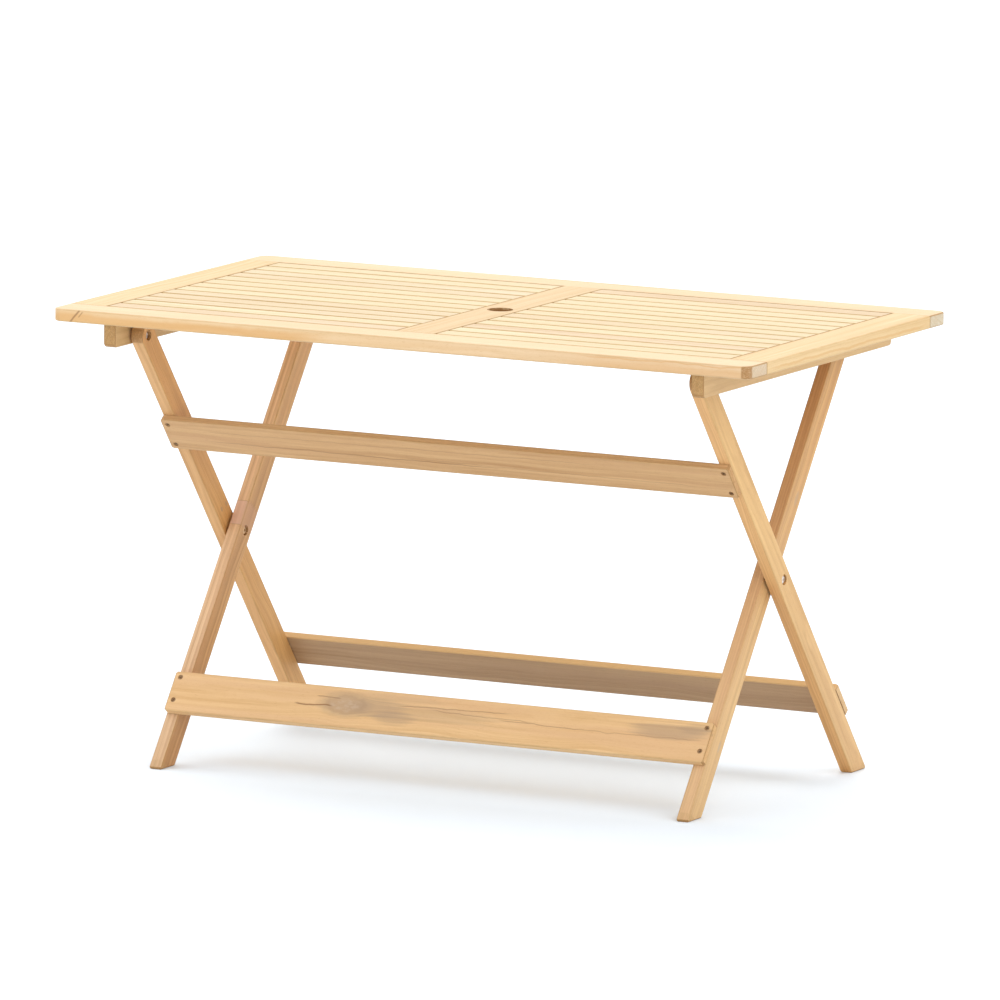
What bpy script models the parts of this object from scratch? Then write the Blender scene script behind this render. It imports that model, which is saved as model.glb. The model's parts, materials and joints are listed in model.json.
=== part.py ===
"""Folding picnic table: a slatted wooden top on two crossed leg frames.

Units are metres. +X runs along the table's long side, +Y to the back, +Z up.
The origin is on the ground under the middle of the top.

The outer leg frame stands on the ground at the back and carries the top's front
pivots. The inner leg frame stands at the front, turns on the crossing bolts, and
its top dowel lies in notches near the back ends of the battens.
"""

import math

import bmesh
import bpy
from mathutils import Matrix, Vector

# ------------------------------------------------------------ driving dimensions
TOP_LENGTH = 1.200
TOP_DEPTH = 0.698
TOP_HEIGHT = 0.723
BOARD_THICKNESS = 0.020
RAIL_WIDTH = 0.0615
END_BOARD_WIDTH = 0.063
CENTRE_RAIL_WIDTH = 0.067
CORNER_RADIUS = 0.016
CORNER_STEPS = 5
PARASOL_HOLE_RADIUS = 0.020
PARASOL_HOLE_SIDES = 32
SLATS_PER_PANEL = 13
SLAT_GAP = 0.0045
SLAT_END_GAP = 0.0012
TOUCH_GAP = 0.0004
EDGE_EASE = 0.002
EASE_STEPS = 2

TONGUE_THICKNESS = 0.008
TONGUE_LENGTH = 0.008
TENON_LENGTH = 0.020
TENON_SHOULDER = 0.014
GROOVE_STOP = 0.004
JOINT_ROOM = 0.0004

BATTEN_THICKNESS = 0.021
BATTEN_HEIGHT = 0.037
BATTEN_INNER_X = 0.4955
BATTEN_FRONT_SETBACK = 0.0145
BATTEN_BACK_SETBACK = 0.0225
BATTEN_CORNER_RADIUS = 0.008
BATTEN_EASE = 0.0025

LEG_THICKNESS = 0.021
LEG_WIDTH = 0.040
LEG_EASE = 0.0025
LEG_END_STEPS = 12
FOOT_RADIUS = 0.003
FOOT_STEPS = 3
OUTER_LEG_INNER_X = 0.4703
INNER_LEG_INNER_X = 0.4461
OUTER_LEAN = math.radians(39.4)
INNER_LEAN = math.radians(36.6)
CROSSING_Y = 0.0077
CROSSING_Z = 0.3395
PIVOT_DROP = 0.0225

STRETCHER_THICKNESS = 0.011
STRETCHER_EASE = 0.0015
UPPER_STRETCHER_SPAN = (0.2165, 0.2815)
LOWER_BACK_SPAN = (-0.335, -0.2725)
LOWER_FRONT_SPAN = (-0.339, -0.270)
UPPER_SCREW_INSETS = (0.0105, 0.0105)
LOWER_BACK_SCREW_INSETS = (0.0105, 0.0105)
LOWER_FRONT_SCREW_INSETS = (0.019, 0.010)
STRETCHER_CLIP = 0.003

DOWEL_RADIUS = 0.011
DOWEL_SIDES = 24
DOWEL_CHAMFER = 0.001
NOTCH_CLEARANCE = 0.0004
NOTCH_FRONT_SLOPE = math.radians(40)
NOTCH_DEPTH = 0.012
NOTCH_STEPS = 10

BOLT_RADIUS = 0.003
BOLT_HEAD_RADIUS = 0.0070
BOLT_HEAD_HEIGHT = 0.0022
BOLT_SOCKET_RADIUS = 0.0026
BOLT_SOCKET_DEPTH = 0.0017
BOLT_END_ROOM = 0.0015
HEAD_BORE_RADIUS = 0.0083
TOP_HEAD_BORE_DEPTH = 0.0065
CROSSING_HEAD_BORE_DEPTH = 0.0045
HEAD_CHAMFER = 0.0006
SLEEVE_RADIUS = 0.0044
SLEEVE_LENGTH = 0.0105
SLEEVE_FLOOR = 0.0005
INSERT_LENGTH = 0.012
HOLE_CLEARANCE = 0.0004
SPACER_RADIUS = 0.0085
ROUND_SIDES = 16

SCREW_HEAD_RADIUS = 0.0038
SCREW_SHANK_RADIUS = 0.0019
SCREW_LENGTH = 0.025
SCREW_SINK = 0.0010
SCREW_SIDES = 12
COUNTERBORE_DEPTH = 0.014
COUNTERBORE_RADIUS = 0.0052
BATTEN_SCREW_SIDES = 6
BATTEN_SCREW_TIP_DROP = 0.006
RAIL_SCREW_INSET = 0.035
SLAT_SCREW_OFFSET = 0.003

OVERSHOOT = 0.002
SAME_PLACE = 1e-5
PARALLEL = 0.999
SHARP_ANGLE = math.radians(35)

WOOD_TOP = (0.86, 0.68, 0.44, 1.0)
WOOD_FRAME = (0.72, 0.50, 0.27, 1.0)
WOOD_DARK = (0.62, 0.42, 0.23, 1.0)
STEEL = (0.62, 0.61, 0.58, 1.0)
WOOD_ROUGHNESS = 0.55
STEEL_ROUGHNESS = 0.3

# -------------------------------------------------------------- worked-out places
HALF_LENGTH = TOP_LENGTH / 2
HALF_DEPTH = TOP_DEPTH / 2
BOARD_UNDERSIDE = TOP_HEIGHT - BOARD_THICKNESS
BOARD_MIDDLE = TOP_HEIGHT - BOARD_THICKNESS / 2
FIELD_DEPTH = TOP_DEPTH - 2 * RAIL_WIDTH
SLAT_WIDTH = (FIELD_DEPTH - (SLATS_PER_PANEL + 1) * SLAT_GAP) / SLATS_PER_PANEL
PIVOT_Z = BOARD_UNDERSIDE - PIVOT_DROP
OUTER_REACH = (PIVOT_Z - CROSSING_Z) / math.cos(OUTER_LEAN)
INNER_REACH = (PIVOT_Z - CROSSING_Z) / math.cos(INNER_LEAN)
TOP_PIVOT = Vector((0, CROSSING_Y - OUTER_REACH * math.sin(OUTER_LEAN), PIVOT_Z))
DOWEL_AXIS = Vector((0, CROSSING_Y + INNER_REACH * math.sin(INNER_LEAN), PIVOT_Z))
CROSSING = Vector((0, CROSSING_Y, CROSSING_Z))
BATTEN_OUTER_X = BATTEN_INNER_X + BATTEN_THICKNESS
BATTEN_MIDDLE_X = BATTEN_INNER_X + BATTEN_THICKNESS / 2
OUTER_LEG_OUTER_X = OUTER_LEG_INNER_X + LEG_THICKNESS
INNER_LEG_OUTER_X = INNER_LEG_INNER_X + LEG_THICKNESS
BATTEN_UNDERSIDE = BOARD_UNDERSIDE - BATTEN_HEIGHT
BATTEN_SCREW_TIP = TOP_HEIGHT - BATTEN_SCREW_TIP_DROP
SIDES = (("left", -1), ("right", 1))


# ------------------------------------------------------------------ mesh helpers
def arc(centre, radius, start_deg, end_deg, steps):
    """Points on an arc in a plane, from one angle to another."""
    points = []
    for i in range(steps + 1):
        angle = math.radians(start_deg + (end_deg - start_deg) * i / steps)
        points.append((centre[0] + radius * math.cos(angle), centre[1] + radius * math.sin(angle)))
    return points


def fillet(before, corner, after, radius, steps):
    """Points on the arc that rounds off a corner between two straight sides."""
    corner = Vector(corner)
    to_before = (Vector(before) - corner).normalized()
    to_after = (Vector(after) - corner).normalized()
    half_angle = to_before.angle(to_after) / 2
    centre = corner + (to_before + to_after).normalized() * radius / math.sin(half_angle)
    start = corner + to_before * radius / math.tan(half_angle) - centre
    end = corner + to_after * radius / math.tan(half_angle) - centre
    return [tuple(centre + start.lerp(end, i / steps).normalized() * radius)
            for i in range(steps + 1)]


def prism(outline, low, high, plane):
    """Extrude a closed outline from low to high along the axis that its plane lacks."""
    order = {"XY": (0, 1, 2), "YZ": (1, 2, 0), "XZ": (0, 2, 1)}[plane]
    bm = bmesh.new()
    rings = []
    for level in (low, high):
        ring = []
        for a, b in outline:
            place = [0.0, 0.0, 0.0]
            place[order[0]], place[order[1]], place[order[2]] = a, b, level
            ring.append(bm.verts.new(place))
        rings.append(ring)
    count = len(outline)
    for i in range(count):
        j = (i + 1) % count
        bm.faces.new((rings[0][i], rings[0][j], rings[1][j], rings[1][i]))
    bm.faces.new(rings[0])
    bm.faces.new(rings[1])
    bmesh.ops.recalc_face_normals(bm, faces=bm.faces)
    return bm


def rectangle(a0, a1, b0, b1):
    return [(a0, b0), (a1, b0), (a1, b1), (a0, b1)]


def box(low, high):
    return prism(rectangle(low[0], high[0], low[1], high[1]), low[2], high[2], "XY")


def turned(profile, sides, axis="X", ring_shaped=False):
    """Turn (position along the axis, radius) points into a closed round body or a ring."""
    bm = bmesh.new()
    rings = []
    for along, radius in profile:
        if radius == 0:
            rings.append([bm.verts.new((along, 0, 0))])
            continue
        ring = []
        for i in range(sides):
            angle = 2 * math.pi * i / sides
            ring.append(bm.verts.new((along, radius * math.cos(angle), radius * math.sin(angle))))
        rings.append(ring)
    pairs = list(zip(rings, rings[1:]))
    if ring_shaped:
        pairs.append((rings[-1], rings[0]))
    for first, second in pairs:
        for i in range(sides):
            j = (i + 1) % sides
            corners = [first[i % len(first)], first[j % len(first)],
                       second[j % len(second)], second[i % len(second)]]
            bm.faces.new(list(dict.fromkeys(corners)))
    for ring in (rings[0], rings[-1]):
        if len(ring) > 1 and not ring_shaped:
            bm.faces.new(ring)
    bmesh.ops.recalc_face_normals(bm, faces=bm.faces)
    if axis == "Y":
        bmesh.ops.rotate(bm, verts=bm.verts, matrix=Matrix.Rotation(math.pi / 2, 3, "Z"))
    if axis == "Z":
        bmesh.ops.rotate(bm, verts=bm.verts, matrix=Matrix.Rotation(-math.pi / 2, 3, "Y"))
    return bm


def ease_edges(bm, width, wanted, segments):
    """Round off the edges for which wanted(edge) is true."""
    edges = [edge for edge in bm.edges if wanted(edge)]
    bmesh.ops.bevel(bm, geom=edges, offset=width, segments=segments, profile=0.5, affect="EDGES")
    return bm


def across_x(x_faces):
    """True for edges that lie in one of the two flat side faces."""
    def wanted(edge):
        return any(all(abs(vert.co.x - x) < SAME_PLACE for vert in edge.verts) for x in x_faces)
    return wanted


def merge(parts):
    """Put several separate closed bodies into one mesh."""
    whole = bmesh.new()
    for part in parts:
        piece = bpy.data.meshes.new("piece")
        part.to_mesh(piece)
        part.free()
        whole.from_mesh(piece)
        bpy.data.meshes.remove(piece)
    return whole


def moved(bm, offset):
    bmesh.ops.translate(bm, verts=bm.verts, vec=offset)
    return bm


# ---------------------------------------------------------------- scene helpers
def material(name, colour, roughness, metallic):
    made = bpy.data.materials.new(name)
    made.use_nodes = True
    shader = made.node_tree.nodes["Principled BSDF"]
    shader.inputs["Base Color"].default_value = colour
    shader.inputs["Roughness"].default_value = roughness
    shader.inputs["Metallic"].default_value = metallic
    made.diffuse_color = colour
    return made


def empty(name, location, lean=0.0):
    """A marker on a joint's axis, leaning about X, that pieces are parented to."""
    made = bpy.data.objects.new(name, None)
    bpy.context.collection.objects.link(made)
    made.location = location
    made.rotation_euler = (lean, 0, 0)
    return made


def add(name, bm, parent, finish, round_piece=False):
    """Make an object from a mesh: table coordinates under the top, leg coordinates under a frame."""
    mesh = bpy.data.meshes.new(name)
    bm.to_mesh(mesh)
    bm.free()
    if round_piece:
        mesh.shade_smooth()
        mesh.set_sharp_from_angle(angle=SHARP_ANGLE)
    made = bpy.data.objects.new(name, mesh)
    bpy.context.collection.objects.link(made)
    made.parent = parent
    if parent.name == "top_hinge":
        made.location = -TOP_PIVOT
    made.data.materials.append(finish)
    return made


def cut(target, bm):
    """Take a hidden cutter's shape out of a piece."""
    cutter = add(target.name + "_cutter", bm, target.parent, target.data.materials[0])
    cutter.hide_render = True
    cutter.display_type = "WIRE"
    drill = target.modifiers.new("cut", "BOOLEAN")
    drill.operation = "DIFFERENCE"
    drill.solver = "EXACT"
    drill.object = cutter


# ------------------------------------------------------------------ the table top
def tongued_outline(start, end, tongue):
    """Side view of a board that runs from start to end, with a tongue past each end."""
    low, high = BOARD_UNDERSIDE, TOP_HEIGHT
    tongue_low = BOARD_MIDDLE - TONGUE_THICKNESS / 2
    tongue_high = BOARD_MIDDLE + TONGUE_THICKNESS / 2
    return [
        (start, low), (end, low),
        (end, tongue_low), (end + tongue, tongue_low),
        (end + tongue, tongue_high), (end, tongue_high),
        (end, high), (start, high),
        (start, tongue_high), (start - tongue, tongue_high),
        (start - tongue, tongue_low), (start, tongue_low),
    ]


def runs_along(axis, heights):
    """Edges along one axis at one of the given heights."""
    def wanted(edge):
        first, second = (vert.co for vert in edge.verts)
        along = abs((first - second).normalized()[axis]) > PARALLEL
        level = min(abs(first.z - height) for height in heights) < SAME_PLACE
        return along and level
    return wanted


def slot_box(low_x, high_x, low_y, high_y):
    """The room that a tongue needs."""
    half = TONGUE_THICKNESS / 2 + JOINT_ROOM
    return box((low_x, low_y, BOARD_MIDDLE - half), (high_x, high_y, BOARD_MIDDLE + half))


def long_rail(name, side, top, wood):
    """A full-length rail with round outer corners and a mortise for each cross board."""
    edge_y = side * HALF_DEPTH
    inner_y = side * (HALF_DEPTH - RAIL_WIDTH)
    corner_x = HALF_LENGTH - CORNER_RADIUS
    corner_y = side * (HALF_DEPTH - CORNER_RADIUS)
    turn = 90 * side
    outline = [(-HALF_LENGTH, inner_y), (HALF_LENGTH, inner_y)]
    outline += arc((corner_x, corner_y), CORNER_RADIUS, 0, turn, CORNER_STEPS)
    outline += arc((-corner_x, corner_y), CORNER_RADIUS, turn, 2 * turn, CORNER_STEPS)
    board = prism(outline, BOARD_UNDERSIDE, TOP_HEIGHT, "XY")

    def outer_rim(edge):
        first, second = (vert.co for vert in edge.verts)
        level = abs(first.z - second.z) < SAME_PLACE
        return level and max(abs(first.y - inner_y), abs(second.y - inner_y)) > SAME_PLACE
    ease_edges(board, EDGE_EASE, outer_rim, EASE_STEPS)
    rail = add(name, board, top, wood)
    low_y, high_y = sorted((inner_y + side * (TENON_LENGTH + JOINT_ROOM),
                            inner_y - side * OVERSHOOT))
    mortises = []
    tenon_middle = end_board_x() - TENON_SHOULDER / 2
    for centre, width in ((-tenon_middle, END_BOARD_WIDTH - TENON_SHOULDER),
                          (0, CENTRE_RAIL_WIDTH),
                          (tenon_middle, END_BOARD_WIDTH - TENON_SHOULDER)):
        reach = width / 2 + JOINT_ROOM
        mortises.append(slot_box(centre - reach, centre + reach, low_y, high_y))
    if side < 0:
        place = batten_screw_places()[0]
        mortises += [moved(screw_pilot(), (x, place, 0)) for x in (-BATTEN_MIDDLE_X, BATTEN_MIDDLE_X)]
    cut(rail, merge(mortises))


def end_board_x():
    return HALF_LENGTH - END_BOARD_WIDTH / 2


def cross_board(name, centre_x, width, groove_sides, eased_sides, top, wood):
    """A board between the long rails, tenoned at both ends and grooved for the slats."""
    reach = FIELD_DEPTH / 2 - TOUCH_GAP
    low_x, high_x = centre_x - width / 2, centre_x + width / 2
    board = prism(tongued_outline(-reach, reach, TENON_LENGTH), low_x, high_x, "YZ")
    outer = [centre_x + side * width / 2 for side in eased_sides]
    along_y = runs_along(1, (BOARD_UNDERSIDE, TOP_HEIGHT))
    ease_edges(board, EDGE_EASE, lambda edge: along_y(edge)
               and any(abs(edge.verts[0].co.x - x) < SAME_PLACE for x in outer), EASE_STEPS)
    piece = add(name, board, top, wood)
    grooves = []
    stop = reach - GROOVE_STOP
    for side in groove_sides:
        face_x = centre_x + side * width / 2
        floor_x = face_x - side * (TONGUE_LENGTH + 2 * JOINT_ROOM)
        grooves.append(slot_box(*sorted((floor_x, face_x + side * OVERSHOOT)), -stop, stop))
    return piece, grooves


def shoulder_cuts(side):
    """What comes off an end board's tenons, so that they stay hidden inside the rails."""
    shoulder_x = side * (HALF_LENGTH - TENON_SHOULDER)
    low_x, high_x = sorted((shoulder_x, side * (HALF_LENGTH + OVERSHOOT)))
    start = FIELD_DEPTH / 2 - TOUCH_GAP
    end = start + TENON_LENGTH + OVERSHOOT
    return [box((low_x, low_y, BOARD_UNDERSIDE), (high_x, high_y, TOP_HEIGHT))
            for low_y, high_y in ((start, end), (-end, -start))]


def make_top_boards(top, wood):
    long_rail("front_rail", -1, top, wood)
    long_rail("back_rail", 1, top, wood)
    for side_name, side in SIDES:
        board, grooves = cross_board(side_name + "_end_board", side * end_board_x(),
                                     END_BOARD_WIDTH, (-side,), (side,), top, wood)
        cut(board, merge(grooves + shoulder_cuts(side)))
    rail, grooves = cross_board("centre_rail", 0, CENTRE_RAIL_WIDTH, (-1, 1), (), top, wood)
    hole = turned([(BOARD_UNDERSIDE - OVERSHOOT, PARASOL_HOLE_RADIUS),
                   (TOP_HEIGHT + OVERSHOOT, PARASOL_HOLE_RADIUS)], PARASOL_HOLE_SIDES, "Z")
    cut(rail, merge(grooves + [hole]))


def slat_y(index):
    """Middle of a slat, counted from the front."""
    first = -FIELD_DEPTH / 2 + SLAT_GAP + SLAT_WIDTH / 2
    return first + index * (SLAT_WIDTH + SLAT_GAP)


def make_slats(top, wood):
    inner = CENTRE_RAIL_WIDTH / 2 + SLAT_END_GAP
    outer = HALF_LENGTH - END_BOARD_WIDTH - SLAT_END_GAP
    for side_name, side in SIDES:
        start, end = sorted((side * inner, side * outer))
        for index in range(SLATS_PER_PANEL):
            middle = slat_y(index)
            board = prism(tongued_outline(start, end, TONGUE_LENGTH),
                          middle - SLAT_WIDTH / 2, middle + SLAT_WIDTH / 2, "XZ")
            ease_edges(board, EDGE_EASE, runs_along(0, (BOARD_UNDERSIDE, TOP_HEIGHT)), 1)
            slat = add(f"{side_name}_slat_{index + 1:02d}", board, top, wood)
            place = slat_screw_y(index)
            if clear_of_dowel(place):
                cut(slat, moved(screw_pilot(), (side * BATTEN_MIDDLE_X, place, 0)))


# ------------------------------------------------------- battens and their screws
def clear_of_dowel(y):
    """True where a screw's counterbore in the batten misses the dowel's notch."""
    return abs(y - DOWEL_AXIS.y) > DOWEL_RADIUS + NOTCH_CLEARANCE + COUNTERBORE_RADIUS


def slat_screw_y(index):
    """A slat's screw, a little behind its middle, so that the first one clears the pivot."""
    return slat_y(index) + SLAT_SCREW_OFFSET


def batten_screw_places():
    """One screw in the front rail, and one in each slat that the dowel leaves room for."""
    rows = [slat_screw_y(index) for index in range(SLATS_PER_PANEL)]
    return [-HALF_DEPTH + RAIL_SCREW_INSET] + [y for y in rows if clear_of_dowel(y)]


def screw_pilot():
    """A blind hole up into a top board, about the Z axis."""
    radius = SCREW_SHANK_RADIUS + HOLE_CLEARANCE
    return turned([(BOARD_UNDERSIDE - OVERSHOOT, radius),
                   (BATTEN_SCREW_TIP + 2 * HOLE_CLEARANCE, radius)], BATTEN_SCREW_SIDES, "Z")


def batten_outline():
    """Side view of a batten, with round lower corners."""
    front = -HALF_DEPTH + BATTEN_FRONT_SETBACK
    back = HALF_DEPTH - BATTEN_BACK_SETBACK
    low, high = BATTEN_UNDERSIDE, BOARD_UNDERSIDE - TOUCH_GAP
    round_r = BATTEN_CORNER_RADIUS
    outline = arc((front + round_r, low + round_r), round_r, 180, 270, CORNER_STEPS)
    outline += arc((back - round_r, low + round_r), round_r, 270, 360, CORNER_STEPS)
    outline += [(back, high), (front, high)]
    return outline


def dowel_notch(side):
    """The notch for the dowel: round at the top, open below, and stopped inside the batten."""
    notch_r = DOWEL_RADIUS + NOTCH_CLEARANCE
    low = BATTEN_UNDERSIDE - OVERSHOOT
    slope_deg = math.degrees(NOTCH_FRONT_SLOPE)
    outline = arc((DOWEL_AXIS.y, DOWEL_AXIS.z), notch_r, 180 - slope_deg, 0, NOTCH_STEPS)
    front_y, front_z = outline[0]
    mouth_front = front_y - (front_z - low) * math.tan(NOTCH_FRONT_SLOPE)
    outline += [(DOWEL_AXIS.y + notch_r, low), (mouth_front, low)]
    faces = sorted((side * (BATTEN_INNER_X - OVERSHOOT), side * (BATTEN_INNER_X + NOTCH_DEPTH)))
    return prism(outline, *faces, "YZ")


def make_battens(top, wood):
    bore = SLEEVE_RADIUS + HOLE_CLEARANCE
    shank = SCREW_SHANK_RADIUS + HOLE_CLEARANCE
    seat = BATTEN_UNDERSIDE + COUNTERBORE_DEPTH
    insert_end = BATTEN_INNER_X + TOUCH_GAP + INSERT_LENGTH + HOLE_CLEARANCE
    batten_top = BOARD_UNDERSIDE - TOUCH_GAP
    for side_name, side in SIDES:
        faces = sorted((side * BATTEN_INNER_X, side * BATTEN_OUTER_X))
        body = prism(batten_outline(), *faces, "YZ")
        in_side_face = across_x(faces)
        ease_edges(body, BATTEN_EASE, lambda edge: in_side_face(edge)
                   and min(vert.co.z for vert in edge.verts) < batten_top - SAME_PLACE, EASE_STEPS)
        batten = add(side_name + "_batten", body, top, wood)
        socket = turned([(side * (BATTEN_INNER_X - OVERSHOOT), bore), (side * insert_end, bore)],
                        ROUND_SIDES)
        holes = [moved(socket, (0, TOP_PIVOT.y, TOP_PIVOT.z)), dowel_notch(side)]
        for place in batten_screw_places():
            where = (side * BATTEN_MIDDLE_X, place, 0)
            holes.append(moved(turned([(BATTEN_UNDERSIDE - OVERSHOOT, COUNTERBORE_RADIUS),
                                       (seat, COUNTERBORE_RADIUS), (seat, shank),
                                       (BOARD_UNDERSIDE + OVERSHOOT, shank)],
                                      BATTEN_SCREW_SIDES, "Z"), where))
        cut(batten, merge(holes))


# ----------------------------------------------------------------- the leg frames
def leg_outline(reach, lean):
    """Side view of a leg about the crossing: round top end, foot cut level with rounded corners."""
    half = LEG_WIDTH / 2
    outline = arc((0, reach), half, 0, 180, LEG_END_STEPS)
    heel, toe = [(y, (-CROSSING_Z - y * math.sin(lean)) / math.cos(lean)) for y in (-half, half)]
    outline += fillet((-half, reach), heel, toe, FOOT_RADIUS, FOOT_STEPS)
    outline += fillet(heel, toe, (half, reach), FOOT_RADIUS, FOOT_STEPS)
    return outline


def make_leg(name, inner_x, side, reach, lean, holes, frame, wood):
    faces = sorted((side * inner_x, side * (inner_x + LEG_THICKNESS)))
    body = prism(leg_outline(reach, lean), *faces, "YZ")
    ease_edges(body, LEG_EASE, across_x(faces), EASE_STEPS)
    leg = add(name, body, frame, wood)
    cut(leg, merge(holes))


def stretcher_screw_spots(span, insets, leg_inner_x):
    """(x, position along the leg) of the two screws at each end of a stretcher."""
    middle_x = leg_inner_x + LEG_THICKNESS / 2
    heights = (span[0] + insets[0], span[1] - insets[1])
    return [(side * middle_x, height) for _, side in SIDES for height in heights]


def make_stretcher(name, span, insets, leg_inner_x, face, frame, wood):
    """A board screwed on the legs' front (face -1) or back (face 1) edges."""
    half_length = leg_inner_x + LEG_THICKNESS
    clip = STRETCHER_CLIP
    low, high = span
    outline = [(-half_length, low + clip), (-half_length + clip, low),
               (half_length - clip, low), (half_length, low + clip),
               (half_length, high - clip), (half_length - clip, high),
               (-half_length + clip, high), (-half_length, high - clip)]
    near = LEG_WIDTH / 2 + TOUCH_GAP
    far = near + STRETCHER_THICKNESS
    faces = sorted((face * near, face * far))
    board = prism(outline, *faces, "XZ")
    ease_edges(board, STRETCHER_EASE, lambda edge: all(
        abs(vert.co.y - face * far) < SAME_PLACE for vert in edge.verts), EASE_STEPS)
    stretcher = add(name, board, frame, wood)
    room = HOLE_CLEARANCE
    cone = SCREW_HEAD_RADIUS - SCREW_SHANK_RADIUS
    countersink = [(-OVERSHOOT, SCREW_HEAD_RADIUS + room), (SCREW_SINK, SCREW_HEAD_RADIUS + room),
                   (SCREW_SINK + cone + room, SCREW_SHANK_RADIUS + room),
                   (STRETCHER_THICKNESS + OVERSHOOT, SCREW_SHANK_RADIUS + room)]
    profile = [(face * (far - depth), radius) for depth, radius in countersink]
    holes = [moved(turned(profile, SCREW_SIDES, "Y"), (x, 0, height))
             for x, height in stretcher_screw_spots(span, insets, leg_inner_x)]
    cut(stretcher, merge(holes))


def leg_screw_holes(span, insets, leg_inner_x, face, side):
    """Pilot holes in one leg for a stretcher's screws."""
    near = LEG_WIDTH / 2
    depth = SCREW_LENGTH - STRETCHER_THICKNESS + SCREW_SINK
    profile = [(face * (near + OVERSHOOT), SCREW_SHANK_RADIUS + HOLE_CLEARANCE),
               (face * (near - depth), SCREW_SHANK_RADIUS + HOLE_CLEARANCE)]
    return [moved(turned(profile, SCREW_SIDES, "Y"), (x, 0, height))
            for x, height in stretcher_screw_spots(span, insets, leg_inner_x) if x * side > 0]


def bolt_hole(head_x, far_x, bore_depth, side, height, sleeved=False):
    """A hole through a leg, counterbored where the head sits and wider for a cap nut's sleeve."""
    inwards = 1 if far_x > head_x else -1
    narrow = BOLT_RADIUS + HOLE_CLEARANCE
    seat = head_x + inwards * bore_depth
    profile = [(head_x - inwards * OVERSHOOT, HEAD_BORE_RADIUS), (seat, HEAD_BORE_RADIUS)]
    if sleeved:
        wide = SLEEVE_RADIUS + HOLE_CLEARANCE
        sleeve_end = seat + inwards * (SLEEVE_LENGTH + HOLE_CLEARANCE)
        profile += [(seat, wide), (sleeve_end, wide), (sleeve_end, narrow)]
    else:
        profile.append((seat, narrow))
    profile.append((far_x + inwards * OVERSHOOT, narrow))
    return moved(turned([(side * along, radius) for along, radius in profile], ROUND_SIDES),
                 (0, 0, height))


def flange(under):
    """Profile of a flat head with a round socket, from its middle to under its rim."""
    face = under - BOLT_HEAD_HEIGHT
    return [(face + BOLT_SOCKET_DEPTH, 0), (face + BOLT_SOCKET_DEPTH, BOLT_SOCKET_RADIUS),
            (face, BOLT_SOCKET_RADIUS), (face, BOLT_HEAD_RADIUS - HEAD_CHAMFER),
            (face + HEAD_CHAMFER, BOLT_HEAD_RADIUS), (under, BOLT_HEAD_RADIUS)]


def fastener(profile, seat_x, inwards, side, height):
    """Turn a bolt's or nut's profile, measured inwards from the seat of its head."""
    placed = [(side * (seat_x + inwards * along), radius) for along, radius in profile]
    return moved(turned(placed, ROUND_SIDES), (0, 0, height))


def bolt(seat_x, end_x, side, height):
    """A bolt whose head sits at seat_x and whose shank ends at end_x."""
    length = abs(end_x - seat_x)
    profile = flange(-TOUCH_GAP) + [(-TOUCH_GAP, BOLT_RADIUS), (length, BOLT_RADIUS), (length, 0)]
    return fastener(profile, seat_x, 1 if end_x > seat_x else -1, side, height)


def cap_nut(seat_x, inwards, side, height):
    """A cap nut whose sleeve takes the end of a bolt."""
    bore = BOLT_RADIUS + HOLE_CLEARANCE
    profile = flange(-TOUCH_GAP) + [(-TOUCH_GAP, SLEEVE_RADIUS), (SLEEVE_LENGTH, SLEEVE_RADIUS),
                                    (SLEEVE_LENGTH, bore), (SLEEVE_FLOOR, bore),
                                    (SLEEVE_FLOOR, 0)]
    return fastener(profile, seat_x, inwards, side, height)


def ring(near_x, far_x, radius, side, height):
    """A washer or sleeve about a bolt."""
    bore = BOLT_RADIUS + HOLE_CLEARANCE
    near, far = side * near_x, side * far_x
    profile = [(near, bore), (near, radius), (far, radius), (far, bore)]
    return moved(turned(profile, ROUND_SIDES, ring_shaped=True), (0, 0, height))


def make_outer_frame(frame, wood, dark):
    for side_name, side in SIDES:
        holes = [bolt_hole(OUTER_LEG_INNER_X, OUTER_LEG_OUTER_X, TOP_HEAD_BORE_DEPTH, side,
                           OUTER_REACH),
                 bolt_hole(OUTER_LEG_OUTER_X, OUTER_LEG_INNER_X, CROSSING_HEAD_BORE_DEPTH, side, 0)]
        holes += leg_screw_holes(UPPER_STRETCHER_SPAN, UPPER_SCREW_INSETS,
                                 OUTER_LEG_INNER_X, -1, side)
        holes += leg_screw_holes(LOWER_BACK_SPAN, LOWER_BACK_SCREW_INSETS,
                                 OUTER_LEG_INNER_X, 1, side)
        make_leg(side_name + "_outer_leg", OUTER_LEG_INNER_X, side, OUTER_REACH, OUTER_LEAN,
                 holes, frame, wood)
    make_stretcher("upper_front_stretcher", UPPER_STRETCHER_SPAN, UPPER_SCREW_INSETS,
                   OUTER_LEG_INNER_X, -1, frame, wood)
    make_stretcher("lower_back_stretcher", LOWER_BACK_SPAN, LOWER_BACK_SCREW_INSETS,
                   OUTER_LEG_INNER_X, 1, frame, dark)


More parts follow.
